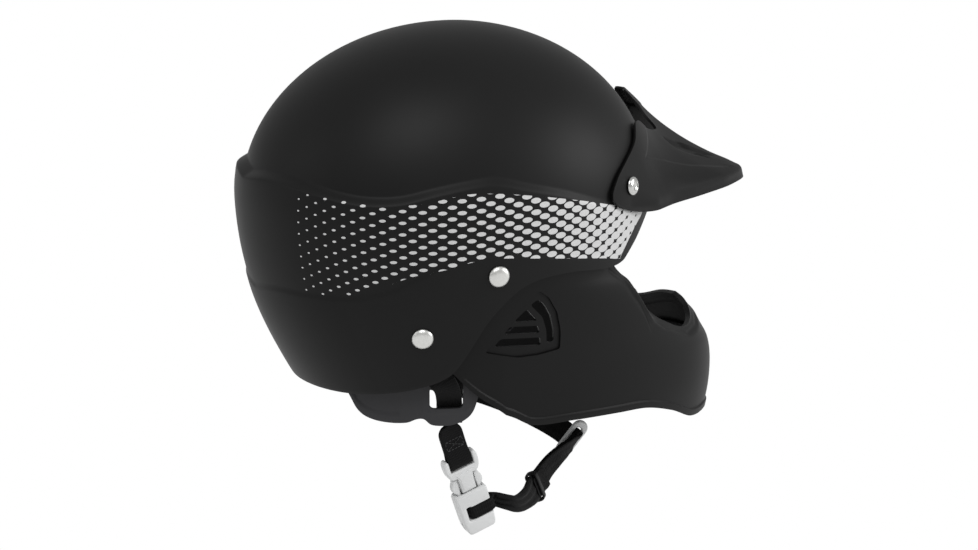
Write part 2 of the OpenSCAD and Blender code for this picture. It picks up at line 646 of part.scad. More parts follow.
module rear_strap() {
  depth = tuck + strap_play + web_thick/2;
  spots = [[117.6, -61.5], [117, -71.5], [117, -82]];
  route = concat(
    [for (p = spots) inside_shell(p[0], p[1], depth)],
    [outside_ring(strap_angle + 7.5, -92, 1.9), outside_ring(strap_angle + 2, ring_top + 2.4, 2.5),
      inside_ring(strap_angle, ring_z - ring_slot[1]/2 + 1.5, 0), inside_ring(strap_angle, PIVOT[2] + web_width/2 + 0.6, 0)]);
  tilts = [0, 0.15, 0.4];
  across = concat([for (i = [0:len(spots) - 1]) lie(spots[i], tilts[i])],
    [strap_lay + [0, 0, 0.3], strap_lay, strap_lay, strap_lay]);
  inner_strap(route, across, REAR_RIVET);
}
module front_strap_right() {
  front_strap();
}
module front_strap_left() {
  mirror([1, 0, 0]) front_strap();
}
module rear_strap_right() {
  rear_strap();
}
module rear_strap_left() {
  mirror([1, 0, 0]) rear_strap();
}

// Nape cradle with a strap ring moulded at each end, and the pad inside it
cradle_pad_half = 48;
cradle_pad_thick = 5;
pad_margin = 3;
function cradle_point(t, z, out = 0) =
  section_point(t, cradle_reach, cradle_reach, cradle_half_width, z, out);
module occipital_cradle() {
  angles = concat(
    columns(cradle_front, 122, 9), columns(125, 235, 24), columns(238, 360 - cradle_front, 9));
  outer = [for (s = [0:0.25:1]) [for (a = angles)
    let (t = wrapped(a)) cradle_point(t, mix(edge_z(CRADLE_TOP, t), edge_z(CRADLE_BOTTOM, t), s))]];
  inner = offset_grid(outer, -cradle_wall, false);
  color(rubber_grey) difference() {
    skin(outer, inner);
    both_sides() ring_opening();
  }
}
module ring_opening() {
  stand(cradle_point(ring_angle, ring_z), cradle_point(ring_angle + 1, ring_z) - cradle_point(ring_angle - 1, ring_z),
    [0, 0, 1]) translate([0, 0, -9]) linear_extrude(16) polygon(round_box(ring_slot[0], ring_slot[1], 3));
}
function round_box(w, h, r) = [for (q = [[1, 1, 0], [-1, 1, 90], [-1, -1, 180], [1, -1, 270]]) for (a = [0:22.5:90])
  [q[0]*(w/2 - r) + r*cos(a + q[2]), q[1]*(h/2 - r) + r*sin(a + q[2])]];
module cradle_pad() {
  spots = patch(180 - cradle_pad_half, 180 + cradle_pad_half, 0, 1, 6, 16);
  pad([for (row = spots) [for (p = row)
    let (t = wrapped(p[0]), low = edge_z(CRADLE_BOTTOM, t) + pad_margin, high = edge_z(CRADLE_TOP, t) - pad_margin)
    cradle_point(t, mix(low, high, p[1]), -cradle_wall - seat)]], cradle_pad_thick);
}

// Buckle frame: +Z up along the strap, +X forward, +Y towards the head
strap_up = place(-STRAP_DOWN);
strap_side = unit([-1, 0, 0] + strap_up[0]*strap_up);
strap_front = cross(strap_up, strap_side);
module at_buckle() {
  c = place(PIVOT);
  multmatrix([
    [strap_front[0], -strap_side[0], strap_up[0], c[0]],
    [strap_front[1], -strap_side[1], strap_up[1], c[1]],
    [strap_front[2], -strap_side[2], strap_up[2], c[2]]]) children();
}
function buckle_place(p) = place(PIVOT) + p[0]*strap_front - p[1]*strap_side + p[2]*strap_up;
// Flat piece drawn in the buckle's face, as [forward, up]
module in_face(thick) {
  rotate([90, 0, 0]) translate([0, 0, -thick/2]) linear_extrude(thick) children();
}
bar_at = -20;
bar_size = 3.6;
loop_in = bar_size/2 + seat;
loop_out = loop_in + web_thick;
// Strap between ring and plug: two layers sewn flat, open as a loop round the plug's bar
module buckle_strap() {
  color(web_black) at_buckle() intersection() {
    rotate([90, 0, 90]) translate([0, 0, -web_width/2]) linear_extrude(web_width) difference() {
      polygon(drop(loop_out, web_thick, web_width, 9));
      polygon(drop(loop_in, 0.1, bar_at + 7, 7));
    }
    in_face(4*loop_out) union() {
      circle(d = web_width);
      translate([-web_width/2, bar_at - 2*loop_out]) square([web_width, -bar_at + 2*loop_out]);
    }
  }
}
// Drop outline round the bar, as [towards the head, up]: round below, drawn in to a neck above
function drop(r, neck, top, rise) = concat(
  [[-neck, top], [-neck, min(top - 0.1, bar_at + rise)]],
  [for (a = [180:15:360]) [r*cos(a), bar_at + r*sin(a)]],
  [[neck, min(top - 0.1, bar_at + rise)], [neck, top]]);

// Plug: two ears with a bar between them, a body with a pocket at each side, and a guide tongue
plug_thick = 7;
plug_body = 5;
mouth = -41;
cavity_depth = 10;
cavity_tall = 5.2;
cavity_half = 9;
arm_thick = cavity_tall - 2*seat - 0.2;
prong_root = [7.6, -31.6];
prong_root_r = 1.6;
module both_edges() {
  children();
  mirror([1, 0]) children();
}
module buckle_plug() {
  ear = web_width/2 + seat;
  color(buckle_white) at_buckle() {
    in_face(plug_thick) difference() {
      union() {
        both_edges() polygon([
          [ear, -24], [ear, -16], [ear + 1.2, -15.2], [ear + 2.6, -16], [ear + 3.3, -18], [ear + 3.3, -24],
          [ear + 1.4, -28.5], [plug_body, -29.5], [0, -29.5], [0, -24]]);
        translate([-plug_body, mouth + seat]) square([2*plug_body, -mouth - 25]);
        both_edges() translate([plug_body - 1, prong_root[1] - 0.6]) square([1.4, 4]);
      }
      both_edges() translate(prong_root) circle(r = prong_root_r + seat, $fn = 24);
    }
    rotate([0, 90, 0]) translate([-bar_at, 0, -ear - 1]) cylinder(d = bar_size, h = 2*ear + 2);
    in_face(arm_thick) polygon([
      [-3, mouth + 2], [3, mouth + 2], [3, mouth - cavity_depth + 2], [2, mouth - cavity_depth + 1],
      [-2, mouth - cavity_depth + 1], [-3, mouth - cavity_depth + 2]]);
  }
}
// Side prong: round root in the plug, finger pad above the socket, arm inside it
module prong() {
  root = [for (a = [195:-15:-15]) prong_root + prong_root_r*[cos(a), sin(a)]];
  in_face(arm_thick) polygon(concat(root, [
    [10.3, -34], [10.7, -36.4], [10.3, -38.6], [8.5, mouth + 0.9],
    [8.4, mouth - cavity_depth + 2], [7.6, mouth - cavity_depth + 1], [6.6, mouth - cavity_depth + 1],
    [6.1, mouth - cavity_depth + 2]]));
}
module prong_front() {
  color(buckle_white) at_buckle() prong();
}
module prong_rear() {
  color(buckle_white) at_buckle() mirror([1, 0, 0]) prong();
}
// Socket: a flat sleeve, with a window and a recessed side bar for the webbing at its lower end
socket_end = -71.5;
web_narrow = 9.2;
web_top = -51.9;
bar_from = -3.2;
bar_thick = 6;
module buckle_socket() {
  half = buckle_width/2;
  web_low = web_top - web_narrow;
  color(buckle_white) at_buckle() difference() {
    in_face(buckle_thick) difference() {
      polygon([
        [-half + 0.8, mouth - seat], [half - 0.8, mouth - seat], [half, mouth - 2], [half, -60], [half - 0.6, -66],
        [half - 1, socket_end + 2.5], [half - 3, socket_end], [-half + 4, socket_end],
        [-half + 1.6, socket_end + 2], [-half, -62], [-half - 0.3, -50], [-half - 0.3, mouth - 2]]);
      polygon([
        [bar_from - web_thick - 2*seat - 1, web_top + seat], [bar_from, web_top + seat],
        [bar_from, web_low - seat], [bar_from - web_thick - 2*seat - 1, web_low - seat]]);
    }
    in_face(cavity_tall) polygon([
      [-cavity_half, mouth + 1], [cavity_half, mouth + 1], [cavity_half, mouth - cavity_depth],
      [-cavity_half, mouth - cavity_depth]]);
    for (face = [-1, 1]) translate([bar_from - seat, face > 0 ? bar_thick/2 : -half, web_low - seat])
      cube([buckle_width, half - bar_thick/2, web_narrow + 2*seat]);
  }
}

// Doubled end of the webbing: through the window, round the side bar, sewn together in front of it
web_start = 17;
module webbing_end() {
  half = buckle_width/2;
  y0 = bar_thick/2 + seat;
  y1 = y0 + web_thick;
  back = bar_from - seat;
  color(web_black) at_buckle() translate([0, 0, web_top - web_narrow]) linear_extrude(web_narrow) difference() {
    polygon([
      [back - web_thick, -y1], [half + 1, -y1], [web_start, -web_thick], [web_start, web_thick],
      [half + 1, y1], [back - web_thick, y1]]);
    polygon([[back, -y0], [half + seat, -y0], [half + 3, 0], [half + seat, y0], [back, y0]]);
  }
}
module chin_webbing() {
  steps = [0, 3.5];
  start = [for (x = steps) buckle_place([web_start + seat + x, 0, web_top - web_narrow/2])];
  route = concat(start, [for (p = WEB_ROUTE) place(p)]);
  across = concat([for (x = steps) strap_up], [for (p = WEB_ACROSS) place(p)]);
  widths = concat([web_narrow, web_narrow, 11, 13.5], [for (i = [2:len(WEB_ROUTE) - 4]) web_width],
    [web_width, 13.2, 5.5]);
  color(web_black) ribbon(route, across, widths, 2*web_thick);
}

// Keeper and slider, each in the middle of a straight stretch of the chin webbing
module at_web(i) {
  a = place(WEB_ROUTE[i]);
  b = place(WEB_ROUTE[i + 1]);
  z = unit(b - a);
  w = place(WEB_ACROSS[i]);
  x = unit(w - (w*z)*z);
  y = cross(z, x);
  c = (a + b)/2;
  multmatrix([
    [x[0], y[0], z[0], c[0]],
    [x[1], y[1], z[1], c[1]],
    [x[2], y[2], z[2], c[2]]]) children();
}
// Band round the webbing: its walls beside the edges and over the faces, and the play inside it
module band_round_web(long, wall_side, wall_face, play, radius) {
  inner = [web_width + 2*play, 2*web_thick + 2*play];
  translate([0, 0, -long/2]) linear_extrude(long) difference() {
    polygon(round_box(inner[0] + 2*wall_side, inner[1] + 2*wall_face, radius));
    polygon(round_box(inner[0], inner[1], 0.8));
  }
}
module strap_keeper() {
  color(rubber_grey) at_web(keeper_at) band_round_web(5, 1.5, 1.5, 0.5, 2);
}
// Slider: a long rounded loop that gathers both layers of the webbing
module strap_slider() {
  color(buckle_white) at_web(slider_at) band_round_web(3.6, 5.5, 3.6, 0.9, 3);
}

outer_shell();
face_guard();
impact_liner();
crown_pad();
brow_pad();
side_pad_right();
side_pad_left();
nape_pad();
cheek_pad_right();
cheek_pad_left();
chin_pad();
front_rivets();
rear_rivets();
rivet_washers();
visor();
visor_screws();
visor_washers();
visor_nuts();
front_strap_right();
front_strap_left();
rear_strap_right();
rear_strap_left();
occipital_cradle();
cradle_pad();
buckle_strap();
buckle_plug();
prong_front();
prong_rear();
buckle_socket();
webbing_end();
chin_webbing();
strap_keeper();
strap_slider();
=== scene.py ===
# %% [markdown]
# # Full-face kayak helmet
# A hard moulded shell with a raised band, a chin guard, a visor, a foam liner with cloth pads,
# a rubber nape cradle and a webbing chin strap with a side-squeeze buckle.
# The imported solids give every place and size. Here each one gets its finished surface.

# %% Load the frame
import math

import bmesh
import bpy
import numpy as np
from mathutils import Matrix, Vector, kdtree


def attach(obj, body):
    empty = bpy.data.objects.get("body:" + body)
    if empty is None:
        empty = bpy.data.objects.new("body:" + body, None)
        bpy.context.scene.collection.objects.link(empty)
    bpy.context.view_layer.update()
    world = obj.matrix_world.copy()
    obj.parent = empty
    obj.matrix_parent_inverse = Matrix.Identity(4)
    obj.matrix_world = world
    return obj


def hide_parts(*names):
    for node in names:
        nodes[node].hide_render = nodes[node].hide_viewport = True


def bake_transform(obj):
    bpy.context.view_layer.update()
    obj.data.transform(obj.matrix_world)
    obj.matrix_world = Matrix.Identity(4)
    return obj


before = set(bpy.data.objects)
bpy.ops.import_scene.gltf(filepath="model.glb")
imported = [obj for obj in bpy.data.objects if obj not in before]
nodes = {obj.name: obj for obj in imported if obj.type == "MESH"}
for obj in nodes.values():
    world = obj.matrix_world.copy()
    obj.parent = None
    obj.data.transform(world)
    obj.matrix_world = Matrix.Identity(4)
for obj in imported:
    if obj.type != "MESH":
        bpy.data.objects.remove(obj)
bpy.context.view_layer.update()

MM = 0.001  # shapes are written in millimetres, the frame is in metres

# %% [markdown]
# ## Camera
# The helmet is seen from the wearer's right and a little behind, from just above the middle of the
# shell. A long lens keeps the far side nearly as large as the near one.

# %% Camera
# The lens that fits the photo is 2480 px long on a picture 978 px wide
SENSOR, FOCAL_PX, WIDE_PX = 36, 2480, 978
VIEW_TURN, VIEW_RISE, VIEW_FAR = math.radians(246), math.radians(14), 1.6
target = Vector((-0.0227, -0.0175, -0.0546))
level = math.cos(VIEW_RISE)
back = Vector((math.sin(VIEW_TURN)*level, -math.cos(VIEW_TURN)*level, math.sin(VIEW_RISE)))
camera = bpy.data.objects.new("camera", bpy.data.cameras.new("camera"))
bpy.context.collection.objects.link(camera)
camera.location = target + VIEW_FAR*back
camera.rotation_euler = back.to_track_quat("Z", "Y").to_euler()
camera.data.sensor_width = SENSOR
camera.data.lens = SENSOR*FOCAL_PX/WIDE_PX
camera.data.clip_start, camera.data.clip_end = 0.05, 30
bpy.context.scene.camera = camera
print("camera at", [round(v, 3) for v in camera.location])

# %% [markdown]
# ## The helmet's form as formulas
# The shell is a set of level sections, each an ellipse that is a little fuller than a true one.
# Its edges are smooth curves through a few heights, written against the angle from the front.
# Working from the same rule as the solids means a finer surface lands exactly where they are.

# %% Curves and sections
def smooth(x):
    u = np.clip(x, 0, 1)
    return u*u*(3 - 2*u)

def mix(a, b, u):
    return a + (b - a)*u

def signed(t):
    """Angles of 0 to 360 degrees as -180 to 180."""
    return np.where(t > 180, t - 360, t)

def unit(v):
    return v/np.linalg.norm(v)

def run_length(points):
    """Distance along a line of points, from its first."""
    return np.concatenate([[0], np.cumsum(np.linalg.norm(np.diff(points, axis=0), axis=1))])

def circle(steps):
    return np.radians(np.arange(steps)*360/steps)

def curve(points, x):
    """Smooth curve through [x, y] points, flat beyond its ends."""
    p = np.array(points, float)
    px, py = p[:, 0], p[:, 1]
    index = np.arange(len(p))
    low, high = np.maximum(index - 1, 0), np.minimum(index + 1, len(p) - 1)
    rise = (py[high] - py[low])/(px[high] - px[low])
    q = np.clip(np.asarray(x, float), px[0], px[-1])
    i = np.clip(np.searchsorted(px, q, side="right") - 1, 0, len(p) - 2)
    h = px[i + 1] - px[i]
    u = (q - px[i])/h
    return ((2*u**3 - 3*u**2 + 1)*py[i] + (u**3 - 2*u**2 + u)*h*rise[i]
            + (3*u**2 - 2*u**3)*py[i + 1] + (u**3 - u**2)*h*rise[i + 1])

# Half sizes of the shell at its widest, how far below that each would close, and its fullness
DOME, FRONT, REAR, SIDE = 107.8, 132.5, 136.0, 106.0
FRONT_CLOSE, REAR_CLOSE, SIDE_CLOSE, FULL = 260, 182, 240, 0.012
# Walls, the band's step, and how far in the pieces start that tuck under the shell
WALL, GUARD_WALL, BAND_STEP, TUCK = 3.2, 3.4, 5.6, 4.0
# Room between seated pieces, between liner and pads, and round straps
SEAT, PAD_FIT, STRAP_PLAY = 0.3, 1.6, 0.9
WEB_WIDE, WEB_THICK, WASHER = 16.0, 1.5, 1.2
# Edges as (degrees from the front, height)
SHELL_EDGE = [(0, 2), (20, -4), (36, -16), (46, -30.5), (51, -37.5), (58, -39.6), (75, -37), (88, -42),
              (97, -60), (105, -86), (110, -97.6), (120, -105.5), (134, -110.7), (150, -113.5),
              (180, -114.5)]
BAND_TOP = [(0, -8), (36, -10), (53, -4), (64, 4.5), (76, 13.5), (87, 20), (96, 25), (103, 24), (112, 20.5),
            (121, 16), (128, 15), (135, 16), (146, 20), (154, 23), (167, 24), (180, 21)]
BAND_BOTTOM = [(0, -38), (52, -36), (64, -31), (76, -26.6), (87, -23.4), (99, -22.3), (108, -23.8),
               (117, -31.9), (124, -40), (131, -44.2), (138, -46.3), (150, -46.5), (165, -46.8),
               (180, -51)]

def closing(z, below):
    """Share of its half size that a level keeps at height z."""
    return np.sqrt(np.maximum(0, 1 - (np.asarray(z, float)/np.where(np.asarray(z) >= 0, DOME, below))**2))

def section(t, front, rear, side, z, out, full=FULL):
    """Points of a level: an ellipse a little fuller than a true one, moved out along its normal."""
    a = np.radians(t)
    half = np.where(np.cos(a) >= 0, front, rear)
    k = 1 + full*np.sin(2*a)**2
    nx, ny = np.sin(a)/side, np.cos(a)/half
    size = np.hypot(nx, ny)
    return np.stack([-(side*np.sin(a)*k + nx/size*out), -(half*np.cos(a)*k + ny/size*out), z + 0*a], -1)

def band_out(t, z):
    """How far the band stands out: most at the nape, least from 60 degrees forward."""
    s = np.abs(t)
    top, bottom = curve(BAND_TOP, s), curve(BAND_BOTTOM, s)
    rear = smooth((s - 60)/100)
    under_top, over_bottom = smooth((top - z)/6 + 0.5), smooth((z - bottom)/5 + 0.5)
    fill = 0.4 + 0.6*np.clip((z - bottom)/(top - bottom), 0, 1)**0.8
    ridge = (1.2 + (BAND_STEP - 1.2)*rear)*under_top*over_bottom*fill
    lip = (1 + 2.2*rear)*(1 - over_bottom)*smooth(1 - (bottom - z)/60)
    return ridge + lip*under_top

def shell_point(t, z, out=0.0):
    t, z = np.broadcast_arrays(np.asarray(t, float), np.asarray(z, float))
    return section(t, FRONT*closing(z, FRONT_CLOSE), REAR*closing(z, REAR_CLOSE),
                   SIDE*closing(z, SIDE_CLOSE), z, band_out(t, z) + out)

def head_point(t, z, inset):
    """The shell's form without its band, moved in."""
    q = np.where(z >= 0, z*DOME/(DOME - inset), z)
    return section(t, FRONT*closing(q, FRONT_CLOSE) - inset, REAR*closing(q, REAR_CLOSE) - inset,
                   SIDE*closing(q, SIDE_CLOSE) - inset, z, 0)

# Millimetres along the surface in one degree, a mean of front and flank
DEGREE_MM = 1.9

def within(t, z, outline):
    """Distance in millimetres inside an outline of (degrees, height) corners, negative outside."""
    x, inside, nearest = np.abs(t)*DEGREE_MM, np.zeros(np.shape(t), bool), np.full(np.shape(t), 1e9)
    corners = [(a*DEGREE_MM, b) for a, b in outline]
    for (x0, z0), (x1, z1) in zip(corners, corners[1:] + corners[:1]):
        share = ((x - x0)*(x1 - x0) + (z - z0)*(z1 - z0))/((x1 - x0)**2 + (z1 - z0)**2)
        share = np.clip(share, 0, 1)
        nearest = np.minimum(nearest, np.hypot(x - x0 - share*(x1 - x0), z - z0 - share*(z1 - z0)))
        if z0 != z1:
            inside ^= ((z0 > z) != (z1 > z)) & (x < x0 + (z - z0)*(x1 - x0)/(z1 - z0))
    return np.where(inside, nearest, -nearest)

def grid_normals(grid, wrap=False):
    down = np.gradient(grid, axis=0)
    if wrap:
        along = (np.roll(grid, -1, 1) - np.roll(grid, 1, 1))/2
    else:
        along = np.gradient(grid, axis=1)
    n = np.cross(along, down)
    return n/np.maximum(np.linalg.norm(n, axis=-1, keepdims=True), 1e-9)

print("crown and nape:", shell_point(0, 107)[2], shell_point(180, -114)[1].round(1))

# %% [markdown]
# ## Small tools
# `sheet_mesh` turns a grid of points into one surface, and `wall` thickens it with Solidify and
# rounds its rims with Bevel, as a moulding's edges are. `plate` does the same for flat parts that
# are drawn as an outline: a filled 2D curve gives clean rounded edges in one step.

# %% Mesh tools
def coordinates(mesh):
    values = np.empty(len(mesh.vertices)*3)
    mesh.vertices.foreach_get("co", values)
    return values.reshape(-1, 3)

def new_object(name, mesh):
    obj = bpy.data.objects.new(name, mesh)
    bpy.context.collection.objects.link(obj)
    return obj

def mesh_object(name, points, faces):
    mesh = bpy.data.meshes.new(name)
    mesh.from_pydata((np.asarray(points)*MM).tolist(), [], faces)
    mesh.validate()
    return new_object(name, mesh)

def grid_faces(rows, cols, wrap=False):
    i, j = np.meshgrid(np.arange(rows - 1), np.arange(cols if wrap else cols - 1), indexing="ij")
    k = (j + 1) % cols
    corners = [i*cols + j, i*cols + k, (i + 1)*cols + k, (i + 1)*cols + j]
    return np.stack(corners, -1).reshape(-1, 4).tolist()

def sheet_mesh(name, grid, wrap=False, cap=False):
    """Surface through a grid of points; a cap closes its first row, or both ends."""
    rows, cols = grid.shape[:2]
    faces = grid_faces(rows, cols, wrap)
    points = grid.reshape(-1, 3)
    if cap:
        points = np.vstack([points, grid[0].mean(0)])
        faces += [[rows*cols, (j + 1) % cols, j] for j in range(cols)]
    if cap == "both":
        points = np.vstack([points, grid[-1].mean(0)])
        last = (rows - 1)*cols
        faces += [[rows*cols + 1, last + j, last + (j + 1) % cols] for j in range(cols)]
    return mesh_object(name, points, faces)

def finished(obj):
    """Applies what hangs on obj and leaves it a plain mesh with nothing live on it."""
    mesh = bpy.data.meshes.new_from_object(obj.evaluated_get(bpy.context.evaluated_depsgraph_get()))
    obj.modifiers.clear()
    obj.data = mesh
    return obj

def modifier(obj, kind, **settings):
    m = obj.modifiers.new(kind.lower(), kind)
    for key, value in settings.items():
        setattr(m, key, value)
    return m

def shade(obj, angle=40):
    """Smooth faces with sharp edges only where the surface really turns."""
    mesh = obj.data
    mesh.polygons.foreach_set("use_smooth", [True]*len(mesh.polygons))
    mesh.set_sharp_from_angle(angle=math.radians(angle))
    return obj

def thicken(obj, thick):
    modifier(obj, "SOLIDIFY", thickness=thick*MM, offset=-1, use_even_offset=True)

def bevel(obj, width, segments=3):
    modifier(obj, "BEVEL", width=width*MM, segments=segments, limit_method="ANGLE",
             angle_limit=math.radians(50))

def wall(obj, thick, rounding):
    """Gives a sheet its thickness and rounds its rims."""
    thicken(obj, thick)
    bevel(obj, rounding)
    return shade(finished(obj))

def face_out(obj):
    """Welds what touches and turns all faces outwards."""
    tool = bmesh.new()
    tool.from_mesh(obj.data)
    bmesh.ops.remove_doubles(tool, verts=tool.verts, dist=1e-6)
    bmesh.ops.recalc_face_normals(tool, faces=tool.faces)
    tool.to_mesh(obj.data)
    tool.free()
    return obj

def plate(name, outlines, thick, rounding):
    """Flat part from closed outlines (the first is the outside), lying in XY with rounded edges."""
    shape = bpy.data.curves.new(name, "CURVE")
    shape.dimensions, shape.fill_mode = "2D", "BOTH"
    shape.extrude = (thick/2 - rounding)*MM
    shape.bevel_depth, shape.bevel_resolution, shape.offset = rounding*MM, 3, -rounding*MM
    for outline in outlines:
        line = shape.splines.new("POLY")
        line.points.add(len(outline) - 1)
        for point, (x, y) in zip(line.points, outline):
            point.co = (x*MM, y*MM, 0, 1)
        line.use_cyclic_u = True
    drawn = new_object(name, shape)
    mesh = bpy.data.meshes.new_from_object(drawn.evaluated_get(bpy.context.evaluated_depsgraph_get()))
    bpy.data.objects.remove(drawn)
    return face_out(new_object(name, mesh))

def frame_at(place, x, y, z):
    """Matrix of a frame at a place (mm) with the three given axes."""
    return Matrix.Translation(Vector(place)*MM) @ Matrix((x, y, z)).transposed().to_4x4()

def place_mesh(obj, matrix):
    obj.data.transform(matrix)
    obj.data.update()
    return obj

def round_corners(points, radius, steps):
    """Outline with each corner replaced by an arc of up to that radius."""
    out = []
    p = [np.array(v, float) for v in points]
    for i, corner in enumerate(p):
        a, b = p[i - 1] - corner, p[(i + 1) % len(p)] - corner
        la, lb = np.linalg.norm(a), np.linalg.norm(b)
        a, b = a/la, b/lb
        reach = min(radius, 0.45*la, 0.45*lb)
        for k in range(steps + 1):
            u = k/steps
            out.append(tuple(corner + a*reach*(1 - u)**2 + b*reach*u**2))
    return out

def join(name, objects):
    tool = bmesh.new()
    for obj in objects:
        tool.from_mesh(obj.data)
        bpy.data.objects.remove(obj)
    mesh = bpy.data.meshes.new(name)
    tool.to_mesh(mesh)
    tool.free()
    return new_object(name, mesh)

print("tools ready")

# %% [markdown]
# ## Materials
# Nearly everything is black, so what tells the pieces apart is how each one was made: spark-eroded
# moulds leave the plastic finely matte, rubber is smoother and greyer, webbing is woven, pads are
# knitted, and the rivets are tumbled steel. Colours are sRGB hex values that one function turns to
# linear. Patterns are sized in millimetres: 1000 over a spacing is the scale of a noise.

# %% Node tools
def linear(hex_code):
    """Linear colour of an sRGB hex value such as #262626."""
    value = [int(hex_code[i:i + 2], 16)/255 for i in (1, 3, 5)]
    return tuple(v/12.92 if v <= 0.04045 else ((v + 0.055)/1.055)**2.4 for v in value) + (1,)

def add(tree, kind, inputs=None, **settings):
    """Adds a node, sets its settings, and fills or links its inputs."""
    n = tree.nodes.new(kind)
    for key, value in settings.items():
        setattr(n, key, value)
    for key, value in (inputs or {}).items():
        if isinstance(value, bpy.types.NodeSocket):
            tree.links.new(value, n.inputs[key])
        else:
            n.inputs[key].default_value = value
    return n

def material(name, roughness, **surface):
    made = bpy.data.materials.new(name)
    made.use_nodes = True
    tree = made.node_tree
    bsdf = tree.nodes["Principled BSDF"]
    bsdf.inputs["Roughness"].default_value = roughness
    for key, value in surface.items():
        bsdf.inputs[key.replace("_", " ")].default_value = value
    return made, tree, bsdf

def link(tree, source, target):
    tree.links.new(source, target)

def on_object(tree):
    """The piece's own coordinates, in metres."""
    return add(tree, "ShaderNodeTexCoord").outputs["Object"]

def colour_by(tree, bsdf, pattern, dark, light):
    tint = add(tree, "ShaderNodeMix", {"Factor": pattern, "A": linear(dark), "B": linear(light)},
               data_type="RGBA")
    link(tree, tint.outputs["Result"], bsdf.inputs["Base Color"])

def bump_by(tree, bsdf, pattern, strength, depth):
    """Relief from a pattern of 0 to 1, its depth in millimetres."""
    bump = add(tree, "ShaderNodeBump", {"Height": pattern, "Strength": strength, "Distance": depth*MM})
    link(tree, bump.outputs["Normal"], bsdf.inputs["Normal"])

def roughness_by(tree, bsdf, pattern, low, high):
    spread = add(tree, "ShaderNodeMapRange", {"Value": pattern, "To Min": low, "To Max": high})
    link(tree, spread.outputs["Result"], bsdf.inputs["Roughness"])

# A wave texture of scale 1 repeats every 2 pi / 20, so this over a spacing gives its scale
WAVE = 2*math.pi/20

# %% Moulded plastic, rubber, foam, cloth and steel
# Polycarbonate blend from a spark-eroded mould: a fine grain of about 0.5 mm and a broad, soft shine.
def moulded(name, dark, light, roughness, grain, depth, gloss):
    made, tree, bsdf = material(name, roughness, Specular_IOR_Level=gloss)
    where = on_object(tree)
    cloud = add(tree, "ShaderNodeTexNoise", {"Vector": where, "Scale": 14.0, "Detail": 3.0})
    colour_by(tree, bsdf, cloud.outputs["Fac"], dark, light)
    fine = add(tree, "ShaderNodeTexNoise", {"Vector": where, "Scale": 1000.0/grain, "Detail": 2.0})
    bump_by(tree, bsdf, fine.outputs["Fac"], 0.35, depth)
    roughness_by(tree, bsdf, cloud.outputs["Fac"], roughness - 0.05, roughness + 0.05)
    return made

shell_plastic = moulded("polycarbonate_blend_moulded_matte", "#0E0E0E", "#141414", 0.5, 0.55, 0.05, 0.16)
guard_plastic = moulded("nylon_guard_moulded_matte", "#0A0A0A", "#101010", 0.5, 0.55, 0.05, 0.15)
visor_plastic = moulded("flexible_plastic_visor_moulded", "#0A0A0A", "#101010", 0.48, 0.6, 0.05, 0.13)
cradle_rubber = moulded("rubber_moulded_satin", "#262628", "#2D2D2F", 0.5, 0.8, 0.06, 0.3)
keeper_rubber = moulded("rubber_band_black", "#0B0B0B", "#101010", 0.55, 0.7, 0.05, 0.2)
buckle_plastic = moulded("acetal_buckle_moulded_grey", "#C4C5C5", "#CECFCF", 0.38, 0.7, 0.03, 0.5)

# Screen-printed ink: the same matte as the shell under it, light grey.
ink, tree, bsdf = material("screen_printed_ink_grey", 0.5)
speck = add(tree, "ShaderNodeTexNoise", {"Vector": on_object(tree), "Scale": 900.0, "Detail": 1.0})
colour_by(tree, bsdf, speck.outputs["Fac"], "#B6B6B6", "#C8C8C8")

# Expanded foam: beads of about 3.5 mm pressed together, each a soft cushion with a fine seam.
liner_foam, tree, bsdf = material("expanded_foam_beads", 0.75, Specular_IOR_Level=0.25)
beads = add(tree, "ShaderNodeTexVoronoi", {"Vector": on_object(tree), "Scale": 1000/3.5},
            feature="DISTANCE_TO_EDGE")
seam = add(tree, "ShaderNodeMapRange", {"Value": beads.outputs["Distance"], "From Max": 0.12, "To Min": 0.0,
                                        "To Max": 1.0})
colour_by(tree, bsdf, seam.outputs["Result"], "#121213", "#232325")
bump_by(tree, bsdf, seam.outputs["Result"], 0.5, 0.3)

# Brushed knit over soft foam: loops of 1.1 mm in rows, dull with a little sheen.
pad_cloth, tree, bsdf = material("knitted_pad_cloth", 0.9, Specular_IOR_Level=0.2, Sheen_Weight=0.08,
                                 Sheen_Roughness=0.5)
where = on_object(tree)
rows = add(tree, "ShaderNodeTexWave", {"Vector": where, "Scale": WAVE/(1.1*MM), "Distortion": 1.5,
                                       "Detail": 1.0, "Detail Scale": 60.0}, bands_direction="Z")
loops = add(tree, "ShaderNodeTexVoronoi", {"Vector": where, "Scale": 1000/1.1})
mixed = add(tree, "ShaderNodeMath", {0: rows.outputs["Fac"], 1: loops.outputs["Distance"]}, operation="ADD")
colour_by(tree, bsdf, loops.outputs["Distance"], "#1C1C1E", "#0E0E0F")
bump_by(tree, bsdf, mixed.outputs["Value"], 0.5, 0.25)

# Woven nylon: cross ribs 1.5 mm apart, read from the strap's own UV map in millimetres.
webbing, tree, bsdf = material("nylon_webbing_woven", 0.75, Specular_IOR_Level=0.14, Sheen_Weight=0.03,
                               Sheen_Roughness=0.4)
cloth = add(tree, "ShaderNodeUVMap", uv_map="cloth").outputs["UV"]
ribs = add(tree, "ShaderNodeTexWave", {"Vector": cloth, "Scale": WAVE/1.5, "Distortion": 0.6, "Detail": 1.0},
           bands_direction="Y")
threads = add(tree, "ShaderNodeTexWave", {"Vector": cloth, "Scale": WAVE/1.0, "Distortion": 0.4,
                                          "Detail": 1.0}, bands_direction="X")
height = add(tree, "ShaderNodeMath", {0: ribs.outputs["Fac"], 1: threads.outputs["Fac"]},
             operation="MULTIPLY")
colour_by(tree, bsdf, height.outputs["Value"], "#040404", "#121213")
bump_by(tree, bsdf, height.outputs["Value"], 0.6, 0.3)

